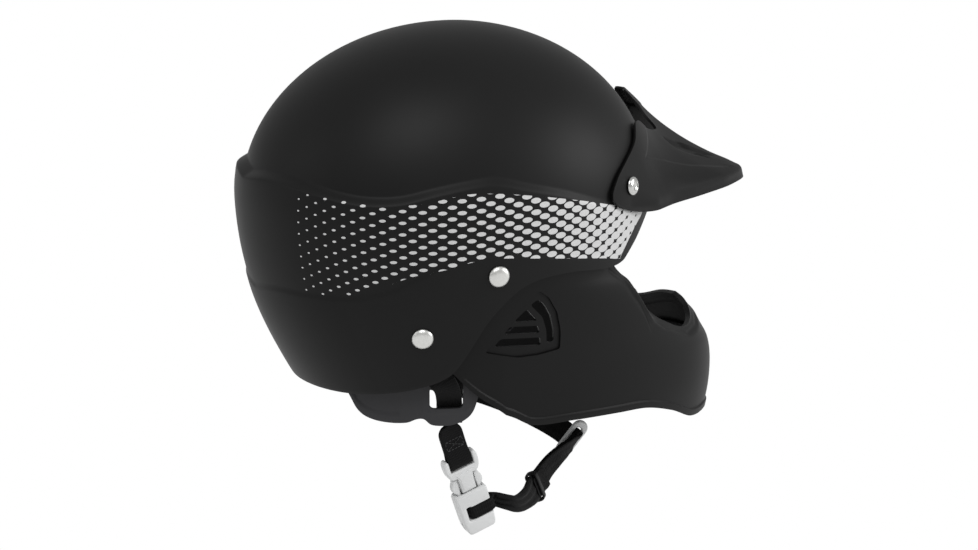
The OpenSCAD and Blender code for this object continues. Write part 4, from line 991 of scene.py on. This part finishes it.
# The crown pad is a disc with four slight lobes, from 5 to 30 degrees off the pole
rings, a = np.linspace(0, 1, 15)[:, None], np.arange(72)*5.0
lobe = 1 - 0.05*rings*np.cos(np.radians(4*a))
height = (DOME - TUCK)*np.sin(np.radians(90 - lobe*mix(5, 30, rings)))
base = moved_out(head_point(signed(a) + 0*rings, height, TUCK), -LINER_THICK - PAD_FIT, True)
swell, channel = 0.35 + 0.65*(1 - rings**4) + 0*a, 1 - 0.35*np.exp(-((rings - 0.55)/0.07)**2) + 0*a
pad("crown_pad_cloth", base, 8, swell, channel, "helmet", "crown_pad", wrap=True)

# %% [markdown]
# ## Nape cradle
# A flexible rubber moulding cups the back of the head and carries a strap ring at each end. Its face
# has a raised outline round a plain field. The sheet is drawn finely, the field is sunk in the grid,
# and the rings' openings are cut before one Bevel rounds every edge as a rubber mould would.

# %% Cradle surface
CRADLE_TOP = [(99.5, -101), (102, -96), (107, -93), (118, -92), (126, -90), (140, -84), (160, -76),
              (180, -74)]
CRADLE_BOTTOM = [(99.5, -114), (101.5, -124), (104.5, -129.5), (109, -132.5), (113, -133), (117, -132),
                 (119.5, -128.5), (122, -128.5), (126, -131), (135, -131.2), (142, -128.8),
                 (146, -124.5), (149, -117.5), (153, -109), (160, -101.5), (180, -98)]
CRADLE_REACH, CRADLE_HALF, CRADLE_WALL = 101.0, 85.4, 3.0
RING_ANGLE, RING_Z, RING_WIDE, RING_TALL, RING_DEGREE = 111.3, -114.8, 21.0, 14.4, 1.6
FIELD_DEEP, COLLAR_HIGH = 0.8, 0.35

def cradle_point(t, z, out=0.0):
    t, z = np.broadcast_arrays(np.asarray(t, float), np.asarray(z, float))
    return section(t, CRADLE_REACH, CRADLE_REACH, CRADLE_HALF, z, out)

def round_box(w, h, r, steps=6):
    """Outline of a box with round corners."""
    return [(sx*(w/2 - r) + r*math.cos(q), sy*(h/2 - r) + r*math.sin(q))
            for sx, sy, start in ((1, 1, 0), (-1, 1, 90), (-1, -1, 180), (1, -1, 270))
            for q in np.radians(start + np.linspace(0, 90, steps))]

def prism(name, outline, low, high):
    n = len(outline)
    points = [(x, y, z) for z in (low, high) for x, y in outline]
    faces = [list(range(n))[::-1], list(range(n, 2*n))]
    faces += [[i, (i + 1) % n, n + (i + 1) % n, n + i] for i in range(n)]
    return face_out(mesh_object(name, points, faces))

# %% Cradle
t = signed(np.linspace(99.5, 260.5, 280)[None, :])
around = np.abs(t)
share = np.linspace(0, 1, 44)[:, None]
top, bottom = curve(CRADLE_TOP, around), curve(CRADLE_BOTTOM, around)
z = mix(top, bottom, share)
field = smooth((around - 127.5)/2)*smooth((top - 4.5 - z)/2)*smooth((z - bottom - 4.5)/2)
# Distance from the ring's opening, where a collar stands up
ring_out = np.hypot(np.maximum(np.abs(around - RING_ANGLE)*RING_DEGREE - RING_WIDE/2, 0),
                    np.maximum(np.abs(z - RING_Z) - RING_TALL/2, 0))
collar = smooth(1 - np.abs(ring_out - 2.2)/1.6)*smooth((122 - around)/3)
cradle = sheet_mesh("nape_cradle", cradle_point(t, z, -FIELD_DEEP*field + COLLAR_HIGH*collar))
thicken(cradle, CRADLE_WALL)
finished(cradle)
for side in (1, -1):
    centre = cradle_point(side*RING_ANGLE, RING_Z)
    along = cradle_point(side*(RING_ANGLE + 1), RING_Z) - cradle_point(side*(RING_ANGLE - 1), RING_Z)
    n, x = unit(np.cross([0, 0, 1], along)), unit(along)
    hole = prism("ring_hole", round_box(RING_WIDE, RING_TALL, 3), -9, 7)
    cut(cradle, place_mesh(hole, frame_at(centre, x, np.cross(n, x), n)))
bevel(cradle, 0.8)
dress(shade(finished(cradle), 45), cradle_rubber, "helmet", "cradle_rubber", "occipital_cradle")

# %% Cradle pad
PAD_INSET = 3
t, q = patch(132, 228, 0, 1, 16, 44)
t = signed(t)
low, high = curve(CRADLE_BOTTOM, np.abs(t)) + PAD_INSET, curve(CRADLE_TOP, np.abs(t)) - PAD_INSET
swell, channel = swell_of(16, 44)
pad("cradle_pad_cloth", cradle_point(t, mix(low, high, q), -CRADLE_WALL - SEAT), 5, swell, channel,
    "helmet", "cradle_pad")

# %% [markdown]
# ## Webbing
# Every strap is flat woven nylon. A strap is a ribbon swept along a smooth path with its width held
# in a given direction, which Curve bevels can't promise, so the rings of points are computed. Its UV
# map counts millimetres across and along, and the weave follows it round every bend.

# %% Ribbon tools
def placed(rows):
    """Rows of (front, right, up) as points of the frame."""
    p = np.array(rows, float)
    return np.stack([-p[:, 1], -p[:, 0], p[:, 2]], 1)

def along_path(points, across, widths, step=1.6):
    """Smooth path through points, with its across directions, widths and distances."""
    p = np.array(points, float)
    chord = run_length(p)
    s = np.linspace(0, chord[-1], max(8, int(chord[-1]/step)) + 1)
    def run(values):
        rows = np.array(values, float).reshape(len(p), -1)
        return np.stack([curve(list(zip(chord, rows[:, k])), s) for k in range(rows.shape[1])], 1)
    return run(p), run(across), run(np.broadcast_to(widths, len(p)))[:, 0], s

def ribbon_axes(path, across):
    """Unit directions over the width and out of the face at each point of a path."""
    ahead = np.gradient(path, axis=0)
    ahead /= np.linalg.norm(ahead, axis=1, keepdims=True)
    w = across - (across*ahead).sum(1, keepdims=True)*ahead
    w /= np.linalg.norm(w, axis=1, keepdims=True)
    return w, np.cross(ahead, w)

# A ring of points round the strap: over its upper face, closer at the edges, and back under it
FACE_POINTS = 17
SPREAD = np.sin(np.radians(np.linspace(-90, 90, FACE_POINTS)))
SPREAD = np.concatenate([SPREAD, SPREAD[-2:0:-1]])
FACING = np.concatenate([np.ones(FACE_POINTS), -np.ones(FACE_POINTS - 2)])

def ribbon(name, path, across, widths, thick=WEB_THICK, lift=0.0):
    """Strap on a path (mm) with rounded edges; lift moves both faces, for folds."""
    w, face = ribbon_axes(path, across)
    half = np.broadcast_to(widths, len(path))[:, None]/2
    off = half*SPREAD
    edge = np.clip((np.abs(off) - (half - thick/2))/(thick/2), 0, 1)
    high = FACING*thick/2*np.sqrt(1 - edge**2) + lift
    points = path[:, None] + off[..., None]*w[:, None] + high[..., None]*face[:, None]
    rows, cols = points.shape[:2]
    obj = mesh_object(name, points.reshape(-1, 3), grid_faces(rows, cols, True)
                      + [list(range(cols)), list(range(rows*cols - 1, (rows - 1)*cols - 1, -1))])
    s = run_length(path)
    u = np.concatenate([WEB_WIDE/2*SPREAD[:FACE_POINTS], WEB_WIDE - WEB_WIDE/2*SPREAD[FACE_POINTS:],
                        [1.5*WEB_WIDE]])
    quads = np.array([[(u[j], s[i]), (u[j + 1], s[i]), (u[j + 1], s[i + 1]), (u[j], s[i + 1])]
                      for i in range(rows - 1) for j in range(cols)]).reshape(-1, 2)
    layer = obj.data.uv_layers.new(name="cloth")
    layer.data.foreach_set("uv", np.vstack([quads, np.zeros((2*cols, 2))]).ravel())
    return shade(face_out(obj), 60)

# %% Stitches
STITCH_EVERY, STITCH_LIFT = 2.2, 0.08

def stitches(name, runs, body):
    """Rows of thread; each run is (start, end, normal) in millimetres."""
    places, turns = [], []
    for start, end, n in runs:
        start, end, n = (np.array(v, float) for v in (start, end, n))
        x, n = unit(end - start), unit(n)
        count = max(2, int(np.linalg.norm(end - start)/STITCH_EVERY))
        for k in range(count):
            places.append(mix(start, end, (k + 0.5)/count) + STITCH_LIFT*n)
            turns.append(turn_of(np.cross(n, x), n, x))
    one = lathe("one_stitch", [(0, -0.95), (0.2, -0.85), (0.3, -0.4), (0.32, 0), (0.3, 0.4), (0.2, 0.85),
                               (0, 0.95)], 8)
    obj = copies(name, places, turns, np.ones((len(places), 3)), one, thread)
    return dress(shade(obj, 60), thread, body, "webbing")

# %% [markdown]
# ## Straps inside the shell
# From each rivet a strap runs down inside the shell to the cradle's ring, over its top bar, in
# through the opening, and behind its bottom bar, where the straps of both rivets meet the chin strap.
# They are ribbons like the others. Of their whole way the photo shows only the ring's opening.

# %% Inner straps
PIVOT = Vector((-75.5343, 32.1417, -141.081))
RING_TOP, RING_LOW, LAYER = RING_Z + RING_TALL/2, RING_Z - RING_TALL/2, WEB_THICK + 2*SEAT

def inside_shell(t, z, depth):
    place, x, y, n = shell_stand(t, z)
    return place - depth*n, -x

def outside_ring(angle, z, layer):
    return cradle_point(angle, z, 0.6 + WEB_THICK/2 + layer*LAYER)

def inside_ring(angle, z, layer):
    return cradle_point(angle, z, -CRADLE_WALL - 0.7 - WEB_THICK/2 - layer*LAYER)

lay = unit(cradle_point(109, RING_Z) - cradle_point(111, RING_Z))
low_end = PIVOT.z + WEB_WIDE/2 + 2*SEAT
front_depth = TUCK + GUARD_WALL + STRAP_PLAY + WEB_THICK/2
rear_depth = TUCK + STRAP_PLAY + WEB_THICK/2
# Spots inside the shell as ((degrees, height), lean), and the way past the ring's bars
front_spots = [((94.5, -24), 0), ((95.5, -33.5), 0.1), ((98, -50), 0.25), ((102, -68), 0.3),
               ((105.5, -84), 0.25)]
rear_spots = [((117.6, -61.5), 0), ((117, -71.5), 0.15), ((117, -82), 0.4)]
front_rest = [outside_ring(109, -94, 0), outside_ring(110, RING_TOP + 0.6, 0.3),
              inside_ring(110, RING_LOW + 3.5, 1), inside_ring(110, low_end, 1)]
rear_rest = [outside_ring(117.5, -92, 1.9), outside_ring(112, RING_TOP + 2.4, 2.5),
             inside_ring(110, RING_LOW + 1.5, 0), inside_ring(110, low_end, 0)]
for kind, spots, depth, rest, rest_across in (
        ("front", front_spots, front_depth, front_rest, [lay]*4),
        ("rear", rear_spots, rear_depth, rear_rest, [lay + np.array([0, 0, 0.3])] + [lay]*3)):
    points, across = [], []
    for (t, z), tilt in spots:
        p, w = inside_shell(t, z, depth)
        points.append(p)
        across.append(w + np.array([0, 0, tilt]))
    path, wide, widths, s = along_path(points + rest, across + rest_across, WEB_WIDE)
    for side in (1, -1):
        flip = np.array([side, 1, 1])
        name = "%s_strap_%s" % (kind, "right" if side > 0 else "left")
        dress(ribbon(name + "_webbing", path*flip, wide*flip, widths), webbing, "helmet", "webbing", name)

# %% [markdown]
# ## Buckle
# A side-squeeze buckle of moulded acetal. Its plug has two ears with a bar for the strap and two
# springy prongs that click into the socket. The flat parts are outlines with rounded edges, and the
# socket's mouth, window and recessed side bar are cut with Boolean and then rounded by Bevel.

# %% Buckle frame
BUCKLE_X, BUCKLE_UP = Vector((0, -0.943545, 0.331245)), Vector((-0.109748, 0.329244, 0.937845))
BUCKLE_OUT = BUCKLE_X.cross(BUCKLE_UP)
AT_BUCKLE = frame_at(PIVOT, BUCKLE_X, BUCKLE_UP, BUCKLE_OUT)

def at_buckle(forward, up, out=0.0):
    """Point of the buckle's own frame (forward, up, away from the head), in millimetres."""
    return np.array(PIVOT + forward*BUCKLE_X + up*BUCKLE_UP + out*BUCKLE_OUT)

def mirrored(outline):
    return outline + [(-x, y) for x, y in reversed(outline)]

# %% Plug
# Heights in the buckle's frame: the socket's mouth and end, the strap's bar, the window's middle
MOUTH, SOCKET_END, BAR_UP, WINDOW_UP = -41.0, -71.5, -20.0, -56.5
half_plug = [(0, -24.0), (8.3, -24.0), (8.3, -16.6), (8.6, -15.7), (9.5, -15.2), (10.4, -15.4),
             (11.0, -16.2), (11.6, -18), (11.7, -21), (11.5, -23.8), (10.9, -26.3), (9.7, -28.5),
             (8.2, -29.35), (5.5, -29.5), (5.3, -31.6), (5.0, -33), (5.0, MOUTH + 0.3),
             (0, MOUTH + 0.3)]
plug = plate("plug_body", [mirrored(half_plug[1:-1])], 7.0, 1.0)
tongue = plate("plug_tongue", [mirrored([(3, MOUTH + 2), (3, MOUTH - 7.2), (2, MOUTH - 9)])], 4.3, 0.5)
bar = lathe("plug_bar", [(0, -9.3), (1.8, -9.3), (1.8, 9.3), (0, 9.3)], 32)
place_mesh(bar, Matrix.Translation((0, BAR_UP*MM, 0)) @ Matrix.Rotation(math.radians(90), 4, "Y"))
panel = plate("plug_panel", [mirrored([(6.2, -26.6), (3.9, -30.5), (3.9, -38.6), (3.2, -39.3)])], 7.6, 0.35)
plug = join("buckle_plug_moulding", [plug, tongue, bar, panel])
dress(shade(place_mesh(plug, AT_BUCKLE), 35), buckle_plastic, "chin_strap", "buckle_plastic", "buckle_plug")

# %% Prongs
root = [(7.6 + 1.6*math.cos(q), -31.6 + 1.6*math.sin(q)) for q in np.radians(np.arange(195, -16, -15))]
prong = root + [(9.9, -33.2), (10.35, -34.4), (10.65, -36.2), (10.5, -37.8), (10.0, -39.1),
                (8.55, MOUTH + 0.7),
                (8.4, MOUTH - 8), (8.1, MOUTH - 8.8), (7.5, MOUTH - 9), (6.7, MOUTH - 9), (6.2, MOUTH - 8.2)]
for name, side in (("prong_front", 1), ("prong_rear", -1)):
    arm = plate(name + "_arm", [[(side*x, y) for x, y in prong]], 4.4, 0.5)
    grip = lathe("one_rib", [(0, -1.9), (0.22, -1.8), (0.32, -1.2), (0.32, 1.2), (0.22, 1.8), (0, 1.9)], 10)
    rows = ((10.2, -34.3), (10.5, -35.6), (10.55, -36.9), (10.25, -38.2))
    ribs = copies("ribs", [(side*x, y, 0) for x, y in rows], [(0, 0, 0)]*4, np.ones((4, 3)), grip,
                  buckle_plastic)
    piece = join(name + "_moulding", [arm, ribs])
    dress(shade(place_mesh(piece, AT_BUCKLE), 35), buckle_plastic, name, "buckle_plastic", name)

# %% Socket
outline = [(10.2, MOUTH - 0.3), (11, MOUTH - 2), (11.05, -52), (11, -60), (10.4, -66), (10.2, -68.6),
           (9.4, -70.5), (8, SOCKET_END), (-7, SOCKET_END), (-8.6, -70.8), (-9.6, -69), (-10.6, -65),
           (-11, -61), (-11.25, -50), (-11.3, MOUTH - 2), (-10.2, MOUTH - 0.3)]
window = [(-3.2, -51.6), (-3.2, -61.4), (-6.3, -61.4), (-6.3, -51.6)]
socket = plate("buckle_socket_moulding", [outline, round_corners(window, 0.8, 3)], 9.6, 1.5)
cut(socket, prism("mouth", [(9, -40), (9, -51), (-9, -51), (-9, -40)], -2.6, 2.6))
bar_face = round_corners([(22, -51.6), (22, -61.4), (-3.6, -61.4), (-3.6, -51.6)], 1.0, 3)
for low, high in ((3, 12), (-12, -3)):
    cut(socket, prism("bar_face", bar_face, low, high))
cut(socket, prism("edge_slit", [(-14, -61.8), (-14, -67.6), (-9.4, -67.6), (-9.4, -61.8)], -1.4, 1.4))
bevel(socket, 0.35, 2)
shade(finished(socket), 35)
dress(place_mesh(socket, AT_BUCKLE), buckle_plastic, "socket", "buckle_plastic", "buckle_socket")

# %% Buckle strap
# One length of webbing runs down, round the plug's bar and back up, and is sewn to itself above it.
# Its top is rounded, so that it clears the cradle as the strap swings.
STRAP_TOP, TOP_FULLNESS, STITCH_OUT = 8.0, 2.4, 1.52
loop = [(0.76, 7.9), (0.76, 4), (0.76, -4), (0.8, -9), (1.3, -12.5), (2.5, -16.5), (2.85, -19.5),
        (2.4, -21.6), (1.2, -22.6), (0, -22.85), (-1.2, -22.6), (-2.4, -21.6), (-2.85, -19.5),
        (-2.5, -16.5), (-1.3, -12.5), (-0.8, -9), (-0.76, -4), (-0.76, 4), (-0.76, 7.9)]
points = [at_buckle(0, up, out) for out, up in loop]
path, wide, widths, s = along_path(points, [BUCKLE_X]*len(loop), WEB_WIDE, 0.8)
height = (path - np.array(PIVOT)) @ np.array(BUCKLE_UP)
share = (np.maximum(0, height)/STRAP_TOP)**TOP_FULLNESS
widths = WEB_WIDE*np.maximum(0.001, 1 - share)**(1/TOP_FULLNESS)
dress(ribbon("buckle_strap_webbing", path, wide, widths), webbing, "chin_strap", "webbing", "buckle_strap")
# A sewn box with a cross
box = [at_buckle(x, y, STITCH_OUT) for x, y in ((-5.8, -2.5), (5.8, -2.5), (5.8, -9), (-5.8, -9))]
lines = ((0, 1), (1, 2), (2, 3), (3, 0), (0, 2), (1, 3))
runs = [(box[i], box[j], BUCKLE_OUT) for i, j in lines]
stitches("buckle_strap_stitches", runs, "chin_strap")

# %% [markdown]
# ## Chin webbing
# One doubled length: it comes out of the socket's window gathered into long folds, passes through the
# rubber keeper, flattens, runs through the slider and up to the left ring. The two layers are one
# ribbon that goes out along the route, round the socket's side bar and back.

# %% Route
WEB_ROUTE = [(9.5, 70.4, -193), (18, 66, -196.5), (30, 54, -198.6), (41, 40, -199.5),
             (53, 23.5, -199.5), (66, 12, -194), (77, 7, -188.5), (86, 4, -184), (90, 2, -182.3),
             (90, -7, -181.4), (86.5, -16, -178), (78, -27, -172.5), (58, -45, -162), (30, -63, -152.5),
             (0, -74.5, -145), (-23.1417, -75.5343, -141.081), (-32.1417, -75.5343, -141.081),
             (-36.6417, -75.5343, -141.081), (-39.6417, -75.5343, -141.081)]
WEB_ACROSS = [(-0.2, 0.1, 1), (-0.15, 0, 1), (-0.2, 0, 1), (-0.45, 0, 0.9), (-0.45, 0, 0.9),
              (-0.2, 0.1, 0.95), (0.1, 0.2, 0.9), (0.45, 0.2, 0.8), (0.63, 0.07, 0.77),
              (0.63, 0.07, 0.77), (0.55, 0, 0.8), (0.4, 0, 0.9), (0.25, 0, 1), (0.15, 0, 1),
              (0.1, 0, 1), (0, 0, 1), (0, 0, 1), (0, 0, 1), (0, 0, 1)]
route = np.vstack([[at_buckle(14, WINDOW_UP)], placed(WEB_ROUTE)])
across = np.vstack([[BUCKLE_UP], placed(WEB_ACROSS)])
widths = [9.4, 9.8, 11, 13.5] + [WEB_WIDE]*13 + [WEB_WIDE, 13.2, 5.5]
path, wide, widths, s = along_path(route, across, widths)
w, out = ribbon_axes(path, wide)
print("webbing from buckle to left ring:", round(float(s[-1])), "mm")

# %% Doubled webbing
loop = [(12.5, 2.6), (11, 3.6), (9, 4.05), (-1.5, 4.05), (-3.5, 3.3), (-4.25, 1.6), (-4.25, -1.6),
        (-3.5, -3.3), (-1.5, -4.05), (9, -4.05), (11, -3.6), (12.5, -2.6)]
LAYER_OUT, GATHERED = 0.77, 9.2
loop_points = np.array([at_buckle(x, WINDOW_UP, -out_by) for x, out_by in loop])
inner, outer = path - LAYER_OUT*out, path + LAYER_OUT*out
turn_points = np.vstack([inner[1], inner[0], loop_points, outer[0], outer[1]])
turn_path, turn_wide, turn_width, q = along_path(turn_points, [BUCKLE_UP]*len(turn_points), GATHERED, 0.8)
whole = np.vstack([inner[:1:-1], turn_path, outer[2:]])
whole_wide = np.vstack([w[:1:-1], turn_wide, w[2:]])
whole_widths = np.concatenate([widths[:1:-1], turn_width, widths[2:]])
reach = np.concatenate([s[:1:-1], np.zeros(len(turn_path)), s[2:]])
way = np.concatenate([-np.ones(len(s) - 2), np.linspace(-1, 1, len(turn_path)), np.ones(len(s) - 2)])
# Folds run along the webbing: deep by the buckle, faint from 78 mm on, and milder round the bar
FOLD_DEEP, FOLD_FAINT, FOLD_TURN, FOLD_END, FOLD_COUNT, FOLD_SWAY = 0.62, 0.12, 0.45, 78, 1.35, 0.12
deep = FOLD_DEEP*smooth((FOLD_END - reach)/45) + FOLD_FAINT
deep = np.where(np.abs(way) < 0.98, FOLD_TURN, deep)
sway = FOLD_SWAY*np.sin(reach/17)[:, None]
folds = (way*deep)[:, None]*np.cos(2*math.pi*(FOLD_COUNT*SPREAD[None, :] + sway))
chin = ribbon("chin_webbing_doubled", whole, whole_wide, whole_widths, WEB_THICK, folds)
chin.data.materials.append(webbing)
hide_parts("chin_webbing", "webbing_end")
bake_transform(chin)
print(chin.name, len(chin.data.polygons), "faces")

# %% Webbing tip
# The folded tip lies on the outer layer in the keeper, and lifts off it where it comes out
KEEPER_AT, TIP_THICK = 3, 0.9
TIP_PLACE, TIP_OUT = np.linspace(0.2, 1.42, 7), np.array([1.85, 1.95, 2.0, 2.05, 2.4, 3.3, 4.2])
near, far = placed(WEB_ROUTE)[KEEPER_AT], placed(WEB_ROUTE)[KEEPER_AT + 1]
tip = near + TIP_PLACE[:, None]*(far - near)
tip_w, tip_out = ribbon_axes(tip, np.tile(placed(WEB_ACROSS)[KEEPER_AT], (7, 1)))
tip += tip_out*TIP_OUT[:, None]
tip_path, tip_across, tip_widths, q = along_path(tip, tip_w, [12, 14, 14.5, 14.5, 14.5, 14.5, 13], 0.7)
dress(ribbon("webbing_tip", tip_path, tip_across, tip_widths, TIP_THICK), webbing, "chin_strap", "webbing")

# %% [markdown]
# ## Keeper and slider
# A soft rubber band holds the webbing's tail, and a stiff moulded loop gathers both layers under the
# guard. Both are rounded rings drawn across the webbing where it runs straight. The band is a little
# thicker than the solid, so that it goes round the tip too.

# %% Rings on the webbing
def at_web(i):
    """Matrix across the webbing halfway along one stretch: X over its width, Z along it."""
    a, b, w = (Vector(p) for p in (*placed(WEB_ROUTE)[i:i + 2], placed(WEB_ACROSS)[i]))
    z = (b - a).normalized()
    x = (w - w.dot(z)*z).normalized()
    return frame_at((a + b)/2, x, z.cross(x), z)

keeper = plate("keeper_band", [round_box(20.4, 8.2, 3), round_box(17.2, 5.3, 1.2)], 5.6, 0.55)
place_mesh(keeper, at_web(KEEPER_AT))
dress(shade(keeper, 40), keeper_rubber, "keeper", "keeper_rubber", "strap_keeper")
slider = plate("slider_loop", [round_box(28.8, 12, 5.8, 10), round_box(18.4, 5.6, 2.6, 8)], 3.6, 1.5)
SLIDER_AT = 8
place_mesh(slider, at_web(SLIDER_AT))
dress(shade(slider, 40), buckle_plastic, "chin_strap", "buckle_plastic", "strap_slider")

# %% [markdown]
# ## Stage
# A plain pale floor well below the helmet and a soft room: large lamps above and in front, so that
# the matte plastic shows broad, faint highlights and the colours render about as they are written.

# %% Stage and light
FLOOR_HALF, FLOOR_Z = 9000, -420
corners = [(x*FLOOR_HALF, y*FLOOR_HALF, FLOOR_Z) for x, y in ((-1, -1), (1, -1), (1, 1), (-1, 1))]
floor = mesh_object("floor", corners, [[0, 1, 2, 3]])
floor_paint, tree, bsdf = material("studio_floor_white", 0.9)
bsdf.inputs["Base Color"].default_value = linear("#F4F4F4")

def either_ray(tree, one, other):
    """1 where a ray is of one of two kinds."""
    rays = add(tree, "ShaderNodeLightPath")
    seen = add(tree, "ShaderNodeMath", {0: rays.outputs[one], 1: rays.outputs[other]}, operation="MAXIMUM")
    return seen.outputs["Value"]

glow = add(tree, "ShaderNodeEmission", {"Color": (1, 1, 1, 1), "Strength": 1.0})
blend_node = add(tree, "ShaderNodeMixShader", {"Fac": either_ray(tree, "Is Camera Ray", "Is Glossy Ray"),
                                               1: bsdf.outputs["BSDF"], 2: glow.outputs["Emission"]})
link(tree, blend_node.outputs["Shader"], tree.nodes["Material Output"].inputs["Surface"])
floor.data.materials.append(floor_paint)

world = bpy.data.worlds.new("soft_room")
bpy.context.scene.world = world
world.use_nodes = True
tree = world.node_tree
seen = either_ray(tree, "Is Camera Ray", "Is Transmission Ray")
level = add(tree, "ShaderNodeMapRange", {"Value": seen, "To Min": 0.55, "To Max": 1.0})
tree.nodes["Background"].inputs["Color"].default_value = (1, 1, 1, 1)
link(tree, level.outputs["Result"], tree.nodes["Background"].inputs["Strength"])

LAMPS_AIM = Vector((0, 0, -0.05))

def lamp(name, place, size, power):
    """Round area lamp turned to the helmet; place and size in metres, power in watts."""
    data = bpy.data.lights.new(name, "AREA")
    data.shape, data.size, data.energy = "DISK", size, power
    obj = bpy.data.objects.new(name, data)
    bpy.context.collection.objects.link(obj)
    obj.location = place
    obj.rotation_euler = (Vector(place) - LAMPS_AIM).to_track_quat("Z", "Y").to_euler()

lamp("key_lamp", (-1.1, 0.5, 1.6), size=1.0, power=16)
lamp("front_lamp", (-0.9, -1.6, 0.6), size=0.9, power=17)
lamp("rear_lamp", (0.2, 1.8, 0.8), size=1.0, power=3)
bpy.context.scene.view_settings.view_transform = "Standard"
print("lamps:", len(bpy.data.lights))
